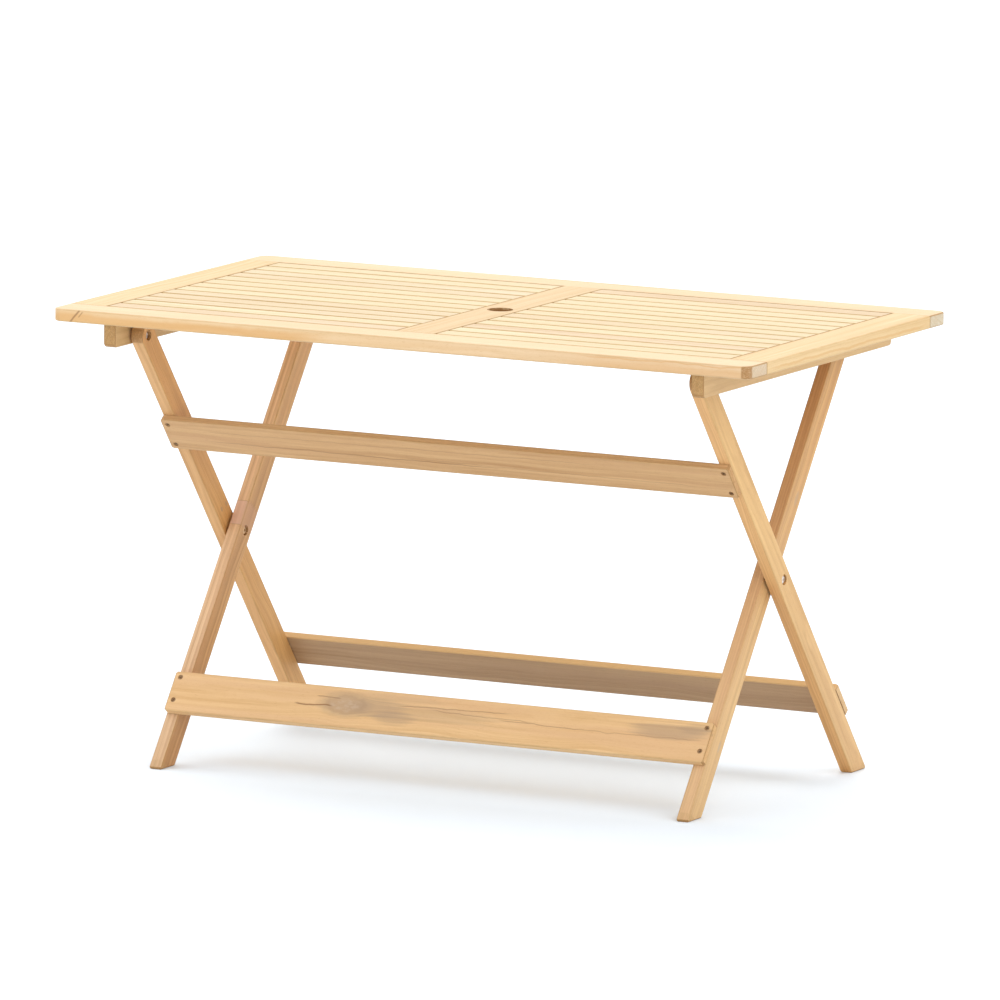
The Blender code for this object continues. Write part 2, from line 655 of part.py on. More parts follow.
def make_inner_frame(frame, wood, dark):
    bore = DOWEL_RADIUS + HOLE_CLEARANCE
    for side_name, side in SIDES:
        through = [(side * (INNER_LEG_INNER_X - OVERSHOOT), bore),
                   (side * (INNER_LEG_OUTER_X + OVERSHOOT), bore)]
        holes = [moved(turned(through, DOWEL_SIDES), (0, 0, INNER_REACH)),
                 bolt_hole(INNER_LEG_INNER_X, INNER_LEG_OUTER_X, CROSSING_HEAD_BORE_DEPTH, side, 0,
                           sleeved=True)]
        holes += leg_screw_holes(LOWER_FRONT_SPAN, LOWER_FRONT_SCREW_INSETS,
                                 INNER_LEG_INNER_X, -1, side)
        make_leg(side_name + "_inner_leg", INNER_LEG_INNER_X, side, INNER_REACH, -INNER_LEAN,
                 holes, frame, dark)
    make_stretcher("lower_front_stretcher", LOWER_FRONT_SPAN, LOWER_FRONT_SCREW_INSETS,
                   INNER_LEG_INNER_X, -1, frame, wood)
    end = BATTEN_INNER_X + NOTCH_DEPTH - DOWEL_CHAMFER
    small = DOWEL_RADIUS - DOWEL_CHAMFER
    dowel = turned([(-end, small), (-end + DOWEL_CHAMFER, DOWEL_RADIUS),
                    (end - DOWEL_CHAMFER, DOWEL_RADIUS), (end, small)], DOWEL_SIDES)
    add("top_dowel", moved(dowel, (0, 0, INNER_REACH)), frame, wood, True)


def make_pivots(top, outer_frame, inner_frame, steel):
    """Top pivots: a bolt into an insert in the batten. Crossings: a bolt into a cap nut."""
    insert_x = BATTEN_INNER_X + TOUCH_GAP
    bolt_end = insert_x + INSERT_LENGTH - BOLT_END_ROOM
    outer_seat = OUTER_LEG_OUTER_X - CROSSING_HEAD_BORE_DEPTH
    inner_seat = INNER_LEG_INNER_X + CROSSING_HEAD_BORE_DEPTH
    for side_name, side in SIDES:
        pivot, crossing = side_name + "_top_pivot_", side_name + "_crossing_"
        top_bolt = bolt(OUTER_LEG_INNER_X + TOP_HEAD_BORE_DEPTH, bolt_end, side, OUTER_REACH)
        add(pivot + "bolt", top_bolt, outer_frame, steel, True)
        top_spacer = ring(OUTER_LEG_OUTER_X + TOUCH_GAP, BATTEN_INNER_X - TOUCH_GAP,
                          SPACER_RADIUS, side, OUTER_REACH)
        add(pivot + "spacer", top_spacer, outer_frame, steel, True)
        insert = ring(insert_x, insert_x + INSERT_LENGTH, SLEEVE_RADIUS, side, TOP_PIVOT.z)
        add(pivot + "insert", moved(insert, (0, TOP_PIVOT.y, 0)), top, steel, True)
        add(crossing + "bolt", bolt(outer_seat, inner_seat + BOLT_END_ROOM, side, 0),
            outer_frame, steel, True)
        crossing_spacer = ring(INNER_LEG_OUTER_X + TOUCH_GAP, OUTER_LEG_INNER_X - TOUCH_GAP,
                               SPACER_RADIUS, side, 0)
        add(crossing + "spacer", crossing_spacer, outer_frame, steel, True)
        add(crossing + "cap_nut", cap_nut(inner_seat, 1, side, 0), inner_frame, steel, True)


def main():
    for old in list(bpy.data.objects):
        bpy.data.objects.remove(old, do_unlink=True)
    top_wood = material("top_wood", WOOD_TOP, WOOD_ROUGHNESS, 0.0)
    frame_wood = material("frame_wood", WOOD_FRAME, WOOD_ROUGHNESS, 0.0)
    dark_wood = material("dark_wood", WOOD_DARK, WOOD_ROUGHNESS, 0.0)
    steel = material("zinc_steel", STEEL, STEEL_ROUGHNESS, 1.0)
    top = empty("top_hinge", TOP_PIVOT)
    outer_frame = empty("outer_frame", CROSSING, OUTER_LEAN)
    inner_frame = empty("crossing_hinge", CROSSING, -INNER_LEAN)
    make_top_boards(top, top_wood)
    make_slats(top, top_wood)
    make_battens(top, frame_wood)
    make_outer_frame(outer_frame, frame_wood, dark_wood)
    make_inner_frame(inner_frame, frame_wood, dark_wood)
    make_pivots(top, outer_frame, inner_frame, steel)


main()
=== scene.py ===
import json
import math
import random

import bmesh
import bpy
from mathutils import Matrix, Vector


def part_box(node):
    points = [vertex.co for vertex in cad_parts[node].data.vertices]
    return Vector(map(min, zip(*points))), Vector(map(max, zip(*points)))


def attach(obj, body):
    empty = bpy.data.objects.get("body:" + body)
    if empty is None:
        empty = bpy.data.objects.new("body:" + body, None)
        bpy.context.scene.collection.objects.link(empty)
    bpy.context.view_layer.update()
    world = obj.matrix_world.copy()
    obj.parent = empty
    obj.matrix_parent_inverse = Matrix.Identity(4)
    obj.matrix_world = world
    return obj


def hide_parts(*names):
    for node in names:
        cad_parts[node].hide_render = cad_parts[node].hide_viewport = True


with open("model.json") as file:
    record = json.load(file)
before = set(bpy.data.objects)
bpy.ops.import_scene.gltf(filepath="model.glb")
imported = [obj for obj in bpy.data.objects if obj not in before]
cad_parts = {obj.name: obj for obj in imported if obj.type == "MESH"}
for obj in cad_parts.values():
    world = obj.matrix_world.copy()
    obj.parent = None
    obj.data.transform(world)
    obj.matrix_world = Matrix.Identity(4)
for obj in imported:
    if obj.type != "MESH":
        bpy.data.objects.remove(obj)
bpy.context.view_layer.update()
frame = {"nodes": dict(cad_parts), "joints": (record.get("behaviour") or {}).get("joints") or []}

# The folding picnic table's looks: pale acacia boards with rounded edges, each with its
# own grain, held by steel bolts, browned cap nuts and wood screws, on a pale studio floor.

# ------------------------------------------------------------- places from the frame
NODES = frame["nodes"]
JOINTS = {joint["name"]: joint for joint in frame["joints"]}
TOP_PIVOT = Vector(JOINTS["top_hinge"]["pos_m"])
CROSSING = Vector(JOINTS["crossing_hinge"]["pos_m"])


def box(node):
    low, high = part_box(node)
    return Vector(low), Vector(high)


def middle(node):
    low, high = box(node)
    return (low + high) / 2


DOWEL_AXIS = middle("top_dowel")
OUTER_LEAN = math.atan2(CROSSING.y - TOP_PIVOT.y, TOP_PIVOT.z - CROSSING.z)
INNER_LEAN = -math.atan2(DOWEL_AXIS.y - CROSSING.y, DOWEL_AXIS.z - CROSSING.z)
OUTER_REACH = math.hypot(TOP_PIVOT.y - CROSSING.y, TOP_PIVOT.z - CROSSING.z)
INNER_REACH = math.hypot(DOWEL_AXIS.y - CROSSING.y, DOWEL_AXIS.z - CROSSING.z)
SIDES = (("left", -1), ("right", 1))
X, Y, Z = Vector((1, 0, 0)), Vector((0, 1, 0)), Vector((0, 0, 1))

# Sizes that the boxes don't tell, in metres. Spans and screw heights run along the legs,
# from the crossing.
LEG_THICKNESS = 0.021
LEG_WIDTH = 0.040
STRETCHER_THICKNESS = 0.011
TOUCH_GAP = 0.0004
OUTER_LEG_INNER_X = box("right_outer_leg")[0].x
INNER_LEG_INNER_X = box("right_inner_leg")[0].x
BATTEN_OUTER_X = box("right_batten")[1].x
BATTEN_INNER_X = box("right_batten")[0].x
BATTEN_UNDERSIDE = box("right_batten")[0].z
RAIL_SCREW_INSET = 0.035
COUNTERBORE_DEPTH = 0.014
BATTEN_SCREW_TIP_DROP = 0.0065
SLAT_SCREW_OFFSET = 0.003
PARASOL_HOLE_RADIUS = 0.020
UPPER_SPAN = (0.2165, 0.2815)
LOWER_BACK_SPAN = (-0.335, -0.2725)
LOWER_FRONT_SPAN = (-0.339, -0.270)
UPPER_SCREWS = (0.227, 0.271)
LOWER_BACK_SCREWS = (-0.3245, -0.283)
LOWER_FRONT_SCREWS = (-0.320, -0.280)
SLATS_PER_PANEL = 13

# ---------------------------------------------------------------------- mesh helpers
SHARP_ANGLE = math.radians(35)


def turned(profile, sides):
    """Turn (position along X, radius) points into a closed round body."""
    bm = bmesh.new()
    rings = []
    for along, radius in profile:
        if radius == 0:
            rings.append([bm.verts.new((along, 0, 0))])
            continue
        ring = []
        for i in range(sides):
            angle = 2 * math.pi * i / sides
            ring.append(bm.verts.new((along, radius * math.cos(angle), radius * math.sin(angle))))
        rings.append(ring)
    for first, second in zip(rings, rings[1:]):
        for i in range(sides):
            j = (i + 1) % sides
            corners = [first[i % len(first)], first[j % len(first)],
                       second[j % len(second)], second[i % len(second)]]
            bm.faces.new(list(dict.fromkeys(corners)))
    for ring in (rings[0], rings[-1]):
        if len(ring) > 1:
            bm.faces.new(ring)
    bmesh.ops.recalc_face_normals(bm, faces=bm.faces)
    return bm


def curve(centre, radius, start_deg, end_deg, steps):
    """Points on an arc, as (along, radius) pairs for a turned profile."""
    points = []
    for i in range(steps + 1):
        angle = math.radians(start_deg + (end_deg - start_deg) * i / steps)
        points.append((centre[0] + radius * math.cos(angle),
                       centre[1] + radius * math.sin(angle)))
    return points


def block(length, width, height):
    """A box from X = -length to X = +length."""
    bm = bmesh.new()
    bmesh.ops.create_cube(bm, size=1)
    bmesh.ops.scale(bm, vec=(2 * length, width, height), verts=bm.verts)
    return bm


def make(name, bm, finish):
    """A smooth-shaded object from a mesh."""
    mesh = bpy.data.meshes.new(name)
    bm.to_mesh(mesh)
    bm.free()
    mesh.shade_smooth()
    mesh.set_sharp_from_angle(angle=SHARP_ANGLE)
    made = bpy.data.objects.new(name, mesh)
    bpy.context.collection.objects.link(made)
    if finish:
        mesh.materials.append(finish)
    return made


def cut(target, bm):
    """Take a shape out of a piece for good."""
    cutter = make(target.name + "_cutter", bm, None)
    drill = target.modifiers.new("cut", "BOOLEAN")
    drill.operation = "DIFFERENCE"
    drill.solver = "EXACT"
    drill.object = cutter
    bpy.context.view_layer.update()
    evaluated = target.evaluated_get(bpy.context.evaluated_depsgraph_get())
    mesh = bpy.data.meshes.new_from_object(evaluated)
    target.modifiers.clear()
    target.data = mesh
    bpy.data.objects.remove(cutter, do_unlink=True)
    mesh.shade_smooth()
    mesh.set_sharp_from_angle(angle=SHARP_ANGLE)


def in_frame(lean):
    """Leg coordinates (origin at the crossing, Z up the leg) to table coordinates."""
    return Matrix.Translation(CROSSING) @ Matrix.Rotation(lean, 4, "X")


def place(piece, matrix):
    piece.data.transform(matrix)


# -------------------------------------------------------------------- material nodes
class Nodes:
    """Short calls for building a node tree."""

    def __init__(self, material):
        material.use_nodes = True
        self.tree = material.node_tree
        self.shader = self.tree.nodes["Principled BSDF"]
        self.place = self.new("ShaderNodeTexCoord").outputs

    def new(self, kind, **settings):
        node = self.tree.nodes.new(kind)
        for key, value in settings.items():
            setattr(node, key, value)
        return node

    def feed(self, socket, value):
        if isinstance(value, bpy.types.NodeSocket):
            self.tree.links.new(value, socket)
        else:
            socket.default_value = value

    def math(self, operation, a, b=0.0, clamp=False):
        node = self.new("ShaderNodeMath", operation=operation, use_clamp=clamp)
        self.feed(node.inputs[0], a)
        self.feed(node.inputs[1], b)
        return node.outputs[0]

    def add(self, a, b):
        return self.math("ADD", a, b)

    def sub(self, a, b):
        return self.math("SUBTRACT", a, b)

    def mul(self, a, b):
        return self.math("MULTIPLY", a, b)

    def dot(self, a, b):
        node = self.new("ShaderNodeVectorMath", operation="DOT_PRODUCT")
        self.feed(node.inputs[0], a)
        self.feed(node.inputs[1], b)
        return node.outputs["Value"]

    def less(self, a, b):
        node = self.new("ShaderNodeVectorMath", operation="SUBTRACT")
        self.feed(node.inputs[0], a)
        self.feed(node.inputs[1], b)
        return node.outputs["Vector"]

    def combine(self, x, y, z):
        node = self.new("ShaderNodeCombineXYZ")
        for socket, value in zip(node.inputs, (x, y, z)):
            self.feed(socket, value)
        return node.outputs[0]

    def smooth(self, value, low, high, to_low=0.0, to_high=1.0):
        node = self.new("ShaderNodeMapRange", interpolation_type="SMOOTHSTEP")
        for socket, setting in zip(node.inputs, (value, low, high, to_low, to_high)):
            self.feed(socket, setting)
        return node.outputs[0]

    def noise(self, vector, detail=3.0, roughness=0.55):
        node = self.new("ShaderNodeTexNoise")
        self.feed(node.inputs["Vector"], vector)
        node.inputs["Scale"].default_value = 1.0
        node.inputs["Detail"].default_value = detail
        node.inputs["Roughness"].default_value = roughness
        return node.outputs[0]

    def noise_line(self, value, detail=3.0, roughness=0.6):
        node = self.new("ShaderNodeTexNoise", noise_dimensions="1D")
        self.feed(node.inputs["W"], value)
        node.inputs["Scale"].default_value = 1.0
        node.inputs["Detail"].default_value = detail
        node.inputs["Roughness"].default_value = roughness
        return node.outputs[0]

    def mix(self, factor, a, b, blend="MIX"):
        node = self.new("ShaderNodeMix", data_type="RGBA", blend_type=blend)
        self.feed(node.inputs[0], factor)
        self.feed(node.inputs[6], a)
        self.feed(node.inputs[7], b)
        return node.outputs[2]

    def bump(self, height, strength, distance):
        node = self.new("ShaderNodeBump")
        node.inputs["Strength"].default_value = strength
        node.inputs["Distance"].default_value = distance
        self.feed(node.inputs["Height"], height)
        return node.outputs[0]


def rgb(red, green, blue):
    return (red, green, blue, 1.0)


# ---------------------------------------------------------------------- wood finishes
# Each set of tones is light, dark and rosy.
TOP_TONES = (rgb(0.69, 0.56, 0.37), rgb(0.57, 0.42, 0.23), rgb(0.64, 0.47, 0.28))
YELLOW_TONES = (rgb(0.71, 0.585, 0.37), rgb(0.60, 0.455, 0.25), rgb(0.67, 0.50, 0.30))
ROSY_TONES = (rgb(0.67, 0.52, 0.34), rgb(0.55, 0.39, 0.215), rgb(0.61, 0.43, 0.26))
CENTRE_TONES = (rgb(0.67, 0.495, 0.285), rgb(0.57, 0.375, 0.175), rgb(0.64, 0.44, 0.235))
END_TONES = (rgb(0.73, 0.54, 0.31), rgb(0.61, 0.40, 0.175), rgb(0.68, 0.46, 0.235))
RAIL_TONES = (rgb(0.75, 0.58, 0.375), rgb(0.63, 0.44, 0.23), rgb(0.70, 0.50, 0.29))
LEG_TONES = (rgb(0.67, 0.415, 0.175), rgb(0.46, 0.25, 0.09), rgb(0.57, 0.33, 0.135))
INNER_LEG_TONES = (rgb(0.64, 0.39, 0.165), rgb(0.40, 0.21, 0.08), rgb(0.52, 0.285, 0.12))
UPPER_TONES = (rgb(0.63, 0.385, 0.185), rgb(0.46, 0.25, 0.105), rgb(0.55, 0.315, 0.15))
FRONT_TONES = (rgb(0.77, 0.51, 0.26), rgb(0.59, 0.335, 0.135), rgb(0.68, 0.42, 0.22))
# Painted shade: the back stretcher's tones are the tan wood darkened, because its face turns down,
# away from the light.
BACK_SHADED_TONES = (rgb(0.45, 0.285, 0.155), rgb(0.33, 0.19, 0.095), rgb(0.40, 0.245, 0.14))
BATTEN_TONES = (rgb(0.70, 0.47, 0.225), rgb(0.54, 0.325, 0.135), rgb(0.62, 0.385, 0.18))
KNOT_BROWN = rgb(0.22, 0.12, 0.06)
KNOT_GREY = rgb(0.40, 0.27, 0.165)
KNOT_PALE = rgb(0.55, 0.40, 0.28)
VEIN_BROWN = rgb(0.27, 0.14, 0.06)
VEIN_ORANGE = rgb(0.60, 0.33, 0.11)
TURNED_END = rgb(0.36, 0.185, 0.065)
# Brown for worn edges and for painted shade along edges, gaps and seams.
EDGE_WEAR_AND_SHADE_BROWN = rgb(0.42, 0.255, 0.095)
# Painted shade inside the parasol hole.
BORE_SHADE_BROWN = rgb(0.25, 0.115, 0.035)
# Painted shade on the slats' sides, for the gaps between them.
SLAT_GAP_SHADE = rgb(0.80, 0.66, 0.42)

# Face tints multiply a board's colour, partly painted light and shade for faces lit or shaded by
# how light falls, and partly the wood's own tone: narrow sides at the low and high end of the
# grain, then wide sides at the low and high end.
PLAIN = (1.0, 1.0, 1.0)
RAIL_FACE_LIGHT_AND_TONE = ((1.08, 1.01, 0.92), (1.01, 0.93, 0.88), PLAIN, PLAIN)
END_FACE_LIGHT_AND_TONE = ((0.98, 0.95, 0.88), (0.98, 0.95, 0.88), PLAIN, PLAIN)

# How finely each figure of the wood repeats in a metre: along the grain, across it, and deep.
STREAKS = (3.0, 165, 165)
FIBRES = (16, 820, 820)
PORES = (120, 2300, 2300)
TONE_PATCHES = (1.9, 14, 14)
HUE_PATCHES = (2.0, 45, 45)
RIPPLES = (8.0, 30, 30)
KNOT_WOBBLE = (70, 150, 150)
KNOT_MOTTLE = (100, 190, 190)
END_SPECKS = (90, 420, 900)
RUBBED_SPOTS = (30, 200, 200)
RINGS_PER_METRE = 230
SWAYS_PER_METRE = 2.6
VEIN_BENDS_PER_METRE = 14

# How much each figure lightens or darkens the wood, about its own middle value.
RING_WEIGHT = 0.55
STREAK_WEIGHT = 1.5
TONE_WEIGHT = 1.1
FIBRE_WEIGHT = 0.5
SHADE_MIDDLE = 0.55

# Lengths that the figures are drawn with, in metres, and the slope of a joint's fingers.
PITH_SWAY = 0.034
RING_RIPPLE = 0.005
VEIN_WANDER = 0.008
TOP_EDGE_LIGHT_DEPTHS = (0.0030, 0.0016)
FINGER_WIDTH = 0.0030
FINGER_SLOPE = 2.2
FINGER_EDGE = 0.0004
FINGER_SEAM = (0.0010, 0.0003)
SEAM_SHADE = (0.0034, 0.0012)
WORN_AND_SHADED_EDGE = (0.0034, 0.0010)
BORE_LIP = (0.0012, 0.0002)
BORE_DEPTHS = (0.0008, 0.0050)
GRAIN_RELIEF = 0.0004


class Board:
    """Where a board is: its middle, its half sizes, and which way its grain runs."""

    def __init__(self, centre, half, grain, across):
        self.centre = centre
        self.half = half
        self.grain = grain
        self.across = across
        self.deep = grain.cross(across)


def flat_board(node, grain, across):
    """A board whose sides are square to the axes."""
    low, high = box(node)
    board = Board((low + high) / 2, None, grain, across)
    size = (high - low) / 2
    board.half = [abs(size.dot(way)) for way in (board.grain, board.across, board.deep)]
    return board


def leaning_board(lean, centre_x, centre_y, height, half, grain_up):
    """A leg (grain_up) or stretcher, given in leg coordinates."""
    turn = in_frame(lean)
    up, out = turn.to_3x3() @ Z, turn.to_3x3() @ Y
    centre = turn @ Vector((centre_x, centre_y, height))
    if grain_up:
        return Board(centre, half, up, out)
    return Board(centre, half, X, up)


class Wood(Nodes):
    """One board's finish. Places in it are a along the grain, b across it and c deep."""

    def __init__(self, name, board, tones, seed, figure):
        self.material = bpy.data.materials.new(name)
        super().__init__(self.material)
        self.board = board
        self.light, self.dark, self.rosy = tones
        self.figure = figure
        self.chance = random.Random(seed)
        seat = self.less(self.place["Object"], board.centre)
        self.a = self.dot(seat, board.grain)
        self.b = self.dot(seat, board.across)
        self.c = self.dot(seat, board.deep)
        self.shift = self.chance.uniform(-40, 40)
        self.flow = self.b
        self.eggs = []

    def pattern(self, per_metre, detail=3.0, roughness=0.55, shift=0.0, across=None):
        """Noise that repeats as finely as per_metre says, along, across and deep."""
        side = self.b if across is None else across
        parts = [self.mul(way, fine) for way, fine in zip((self.a, side, self.c), per_metre)]
        if shift:
            parts[0] = self.add(parts[0], shift)
        return self.noise(self.combine(*parts), detail, roughness)

    def facing(self, way):
        """How squarely the surface faces a direction or its opposite, from 0 to 1."""
        return self.math("ABSOLUTE", self.dot(self.place["Normal"], way))

    def sideways(self):
        """1 on the sides across the grain, 0 on the wide faces."""
        return self.smooth(self.facing(self.board.across), 0.5, 0.8)

    def paint(self, mask, tint, blend="MIX"):
        self.colour = self.mix(mask, self.colour, tint, blend)

    def bend_round_knots(self, knots):
        """The grain flows round each knot: place along, place aside, reach, half width."""
        for along, aside, reach, half_width in knots:
            near = self.math("DIVIDE", self.sub(self.a, along), reach)
            bell = self.math("EXPONENT", self.mul(self.mul(near, near), -1.0))
            off = self.sub(self.flow, aside)
            room = self.sub(self.mul(off, off), self.mul(bell, half_width ** 2))
            root = self.math("SQRT", self.math("MAXIMUM", room, 0.0))
            self.flow = self.add(self.mul(self.math("SIGN", off), root), aside)
            wobble = self.pattern(KNOT_WOBBLE, 4.0, 0.65)
            egg = self.add(self.mul(near, near), self.mul(self.mul(off, off), 1 / half_width ** 2))
            self.eggs.append(self.add(egg, self.mul(self.sub(wobble, 0.5), 1.6)))

    def growth_rings(self, pith):
        """Rings about a pith that lies well outside the board."""
        if pith is None:
            pith = (self.chance.uniform(-0.08, 0.08), self.chance.uniform(0.03, 0.08))
        sway = self.noise_line(self.add(self.mul(self.a, SWAYS_PER_METRE), self.shift), 2.0)
        ripple = self.pattern(RIPPLES, shift=self.shift)
        swayed = self.add(self.flow, self.mul(self.sub(sway, 0.5), PITH_SWAY))
        from_b = self.sub(swayed, pith[0])
        from_c = self.sub(self.c, pith[1])
        radius = self.math("SQRT", self.add(self.mul(from_b, from_b), self.mul(from_c, from_c)))
        radius = self.add(radius, self.mul(self.sub(ripple, 0.5), RING_RIPPLE))
        rings = self.noise_line(self.add(self.mul(radius, RINGS_PER_METRE), self.shift), 3.0, 0.65)
        return self.smooth(rings, 0.36, 0.60)

    def planed_wood(self, pith):
        """Rings, streaks, fibres and pores, before anything that is special to one board."""
        self.grain = self.growth_rings(pith)
        self.streak = self.pattern(STREAKS, 4.0, shift=self.shift, across=self.flow)
        self.fibre = self.pattern(FIBRES, 3.0, 0.7, self.shift, self.flow)
        self.tone = self.pattern(TONE_PATCHES, 2.0, shift=self.shift)
        self.pores = self.smooth(self.pattern(PORES, 2.0), 0.62, 0.71)
        shade = self.mul(self.sub(self.grain, SHADE_MIDDLE), RING_WEIGHT * self.figure)
        for figure, weight in ((self.streak, STREAK_WEIGHT * self.figure),
                               (self.tone, TONE_WEIGHT), (self.fibre, FIBRE_WEIGHT)):
            shade = self.add(shade, self.mul(self.sub(figure, 0.5), weight))
        shade = self.math("ADD", shade, SHADE_MIDDLE, clamp=True)
        self.colour = self.mix(shade, self.dark, self.light)
        hue = self.pattern(HUE_PATCHES, 2.0, shift=-self.shift)
        self.paint(self.smooth(hue, 0.45, 0.70, 0.0, 0.7), self.rosy)
        self.paint(self.smooth(self.streak, 0.38, 0.30, 0.0, 0.55 * self.figure), self.dark)
        self.paint(self.mul(self.pores, 0.35), self.dark, "MULTIPLY")

    def paint_top_edge_light(self, strength):
        """Painted light: a pale band on the side where b is highest, the upper edge that the light
        falls on.
        """
        deep, shallow = TOP_EDGE_LIGHT_DEPTHS
        rim = self.board.half[1]
        self.paint(self.smooth(self.b, rim - deep, rim - shallow, 0.0, strength), LEG_TONES[0])

    def paint_joints(self, joints):
        """Finger-jointed blocks: start and end along the grain, tint and strength."""
        for start, end, tint, strength in joints:
            zigzag = self.math("PINGPONG", self.add(self.b, 1.0), FINGER_WIDTH)
            tooth = self.add(self.a, self.mul(zigzag, FINGER_SLOPE))
            inside = self.mul(self.smooth(tooth, start, start + FINGER_EDGE),
                              self.smooth(tooth, end, end - FINGER_EDGE))
            self.paint(self.mul(inside, strength), tint)
            for seam in (start, end):
                off = self.math("ABSOLUTE", self.sub(tooth, seam))
                self.paint(self.smooth(off, *FINGER_SEAM, 0.0, 0.45), VEIN_BROWN)

    def paint_smudges(self, smudges):
        """Grey clouds: place along and aside, half length, half width and strength."""
        for along, aside, half_length, half_width, strength in smudges:
            near = self.math("POWER", self.mul(self.sub(self.a, along), 1 / half_length), 2.0)
            off = self.math("POWER", self.mul(self.sub(self.b, aside), 1 / half_width), 2.0)
            cloud = self.add(self.add(near, off), self.mul(self.sub(self.streak, 0.5), 2.4))
            self.paint(self.smooth(cloud, 1.3, 0.1, 0.0, strength), KNOT_GREY)

    def paint_knots(self):
        """A grey halo, a pale mottled heart and a faint brown rim for each knot."""
        for egg in self.eggs:
            mottle = self.pattern(KNOT_MOTTLE, 4.0, 0.6)
            self.paint(self.mul(self.smooth(egg, 3.4, 0.2), 0.70), KNOT_GREY)
            pale = self.mul(self.smooth(egg, 1.0, 0.2), self.smooth(mottle, 0.38, 0.68))
            self.paint(self.mul(pale, 0.55), KNOT_PALE)
            rim = self.mul(self.smooth(egg, 1.5, 1.0), self.smooth(egg, 0.5, 1.0))
            self.paint(self.mul(rim, 0.10), KNOT_BROWN)

    def vein(self, height, start, end, half_width, seed):
        """How much of a thin wandering streak, from start to end, is at a point (a, height)."""
        way = Vector((end[0] - start[0], end[1] - start[1]))
        length = way.length
        way.normalize()
        from_a, from_height = self.sub(self.a, start[0]), self.sub(height, start[1])
        along = self.add(self.mul(from_a, way.x), self.mul(from_height, way.y))
        aside = self.sub(self.mul(from_height, way.x), self.mul(from_a, way.y))
        bends = self.noise_line(self.add(self.mul(along, VEIN_BENDS_PER_METRE), seed), 3.0)
        wander = self.mul(self.sub(bends, 0.5), min(VEIN_WANDER, length / 8))
        off = self.math("ABSOLUTE", self.add(aside, wander))
        part = self.mul(along, 1 / length)
        taper = self.smooth(self.mul(part, self.sub(1.0, part)), 0.0, 0.12)
        return self.mul(self.smooth(off, half_width, half_width * 0.25), taper)

    def paint_veins(self, veins):
        """Streaks on the wide face (a, b), or on the narrow edges only (a, c).

        Each is its plane, start, end, half width, strength and tint.
        """
        sideways = self.sideways()
        for index, (plane, start, end, half_width, strength, tint) in enumerate(veins):
            height = self.b if plane == "face" else self.c
            mask = self.vein(height, start, end, half_width, self.shift + 7 * index)
            if plane == "edge":
                mask = self.mul(mask, sideways)
            self.paint(self.mul(mask, strength), tint)

    def paint_light_on_faces(self, face_light_and_tone):
        """Painted light and shade on each face, partly the wood's own tone: narrow and wide sides
        differ, each changing from its low to its high end.
        """
        edge_low, edge_high, side_low, side_high = [(*hue, 1.0) for hue in face_light_and_tone]
        rise = self.smooth(self.a, -self.board.half[0], self.board.half[0])
        wide = self.smooth(self.facing(self.board.deep), 0.60, 0.80)
        narrow_hue = self.mix(rise, edge_low, edge_high)
        hue_here = self.mix(wide, narrow_hue, self.mix(rise, side_low, side_high))
        self.paint(1.0, hue_here, "MULTIPLY")

    def paint_slat_side_shade(self, gap_shade):
        """Painted shade: a deeper tone on the sides that a slat turns to its neighbours, in the
        gaps between slats.
        """
        self.paint(self.sideways(), self.mix(1.0, self.colour, gap_shade, "MULTIPLY"))

    def paint_seam_shade(self, shaded_seams):
        """Painted shade along the sides, 1 or -1 across the grain, where other boards meet this
        one and the gap between them lies in shadow.
        """
        for way in shaded_seams:
            off = self.sub(self.board.half[1], self.mul(self.b, way))
            self.paint(self.smooth(off, *SEAM_SHADE, 0.0, 0.9), EDGE_WEAR_AND_SHADE_BROWN)

    def paint_ends(self, ends, end_hue, turned_ends):
        """End grain is mottled, and darkest where an end turns a corner."""
        facing = self.facing(self.board.grain)
        self.end = self.smooth(facing, 0.75, 0.95)
        speck = self.pattern(END_SPECKS, 4.0, 0.7)
        end_tone = self.smooth(speck, 0.30, 0.70, *ends)
        end_colour = self.combine(*[self.mul(end_tone, part) for part in end_hue])
        self.paint(self.end, self.mix(1.0, self.colour, end_colour, "MULTIPLY"))
        turn = self.mul(self.smooth(facing, 0.06, 0.22), self.smooth(facing, 0.985, 0.93))
        turn = self.mul(turn, self.smooth(speck, 0.35, 0.55, 0.45, 1.0))
        half_length = self.board.half[0]
        turn = self.mul(turn, self.smooth(self.a, -half_length, half_length, *turned_ends))
        self.paint(turn, TURNED_END)

    def wear_and_shade_edges(self, strength):
        """Edges darkened by handling wear and by painted shade along grooves and gaps: the middle
        one of the three distances to the board's sides.
        """
        gaps = [self.sub(size, self.math("ABSOLUTE", value))
                for size, value in zip(self.board.half, (self.a, self.b, self.c))]
        least = self.math("MINIMUM", gaps[0], gaps[1])
        most = self.math("MAXIMUM", gaps[0], gaps[1])
        edge = self.math("MAXIMUM", least, self.math("MINIMUM", most, gaps[2]))
        rub = self.pattern(RUBBED_SPOTS, 3.0, 0.65)
        worn_and_shaded = self.mul(self.smooth(edge, *WORN_AND_SHADED_EDGE), self.smooth(rub, 0.30, 0.60, 0.35, 1.0))
        self.paint(self.mul(worn_and_shaded, strength), EDGE_WEAR_AND_SHADE_BROWN)

    def shade_bore(self, radius):
        """Painted shade in a hole through the board's middle: brown, deepest away from its rims.
        """
        away = self.math("SQRT", self.add(self.mul(self.a, self.a), self.mul(self.b, self.b)))
        rim_c = self.board.half[2]
        shallow, deep = [rim_c - depth for depth in BORE_DEPTHS]
        sunk = self.smooth(self.math("ABSOLUTE", self.c), shallow, deep, 0.25, 1.0)
        lip = self.smooth(away, *[radius + width for width in BORE_LIP])
        self.paint(self.mul(lip, sunk), BORE_SHADE_BROWN)

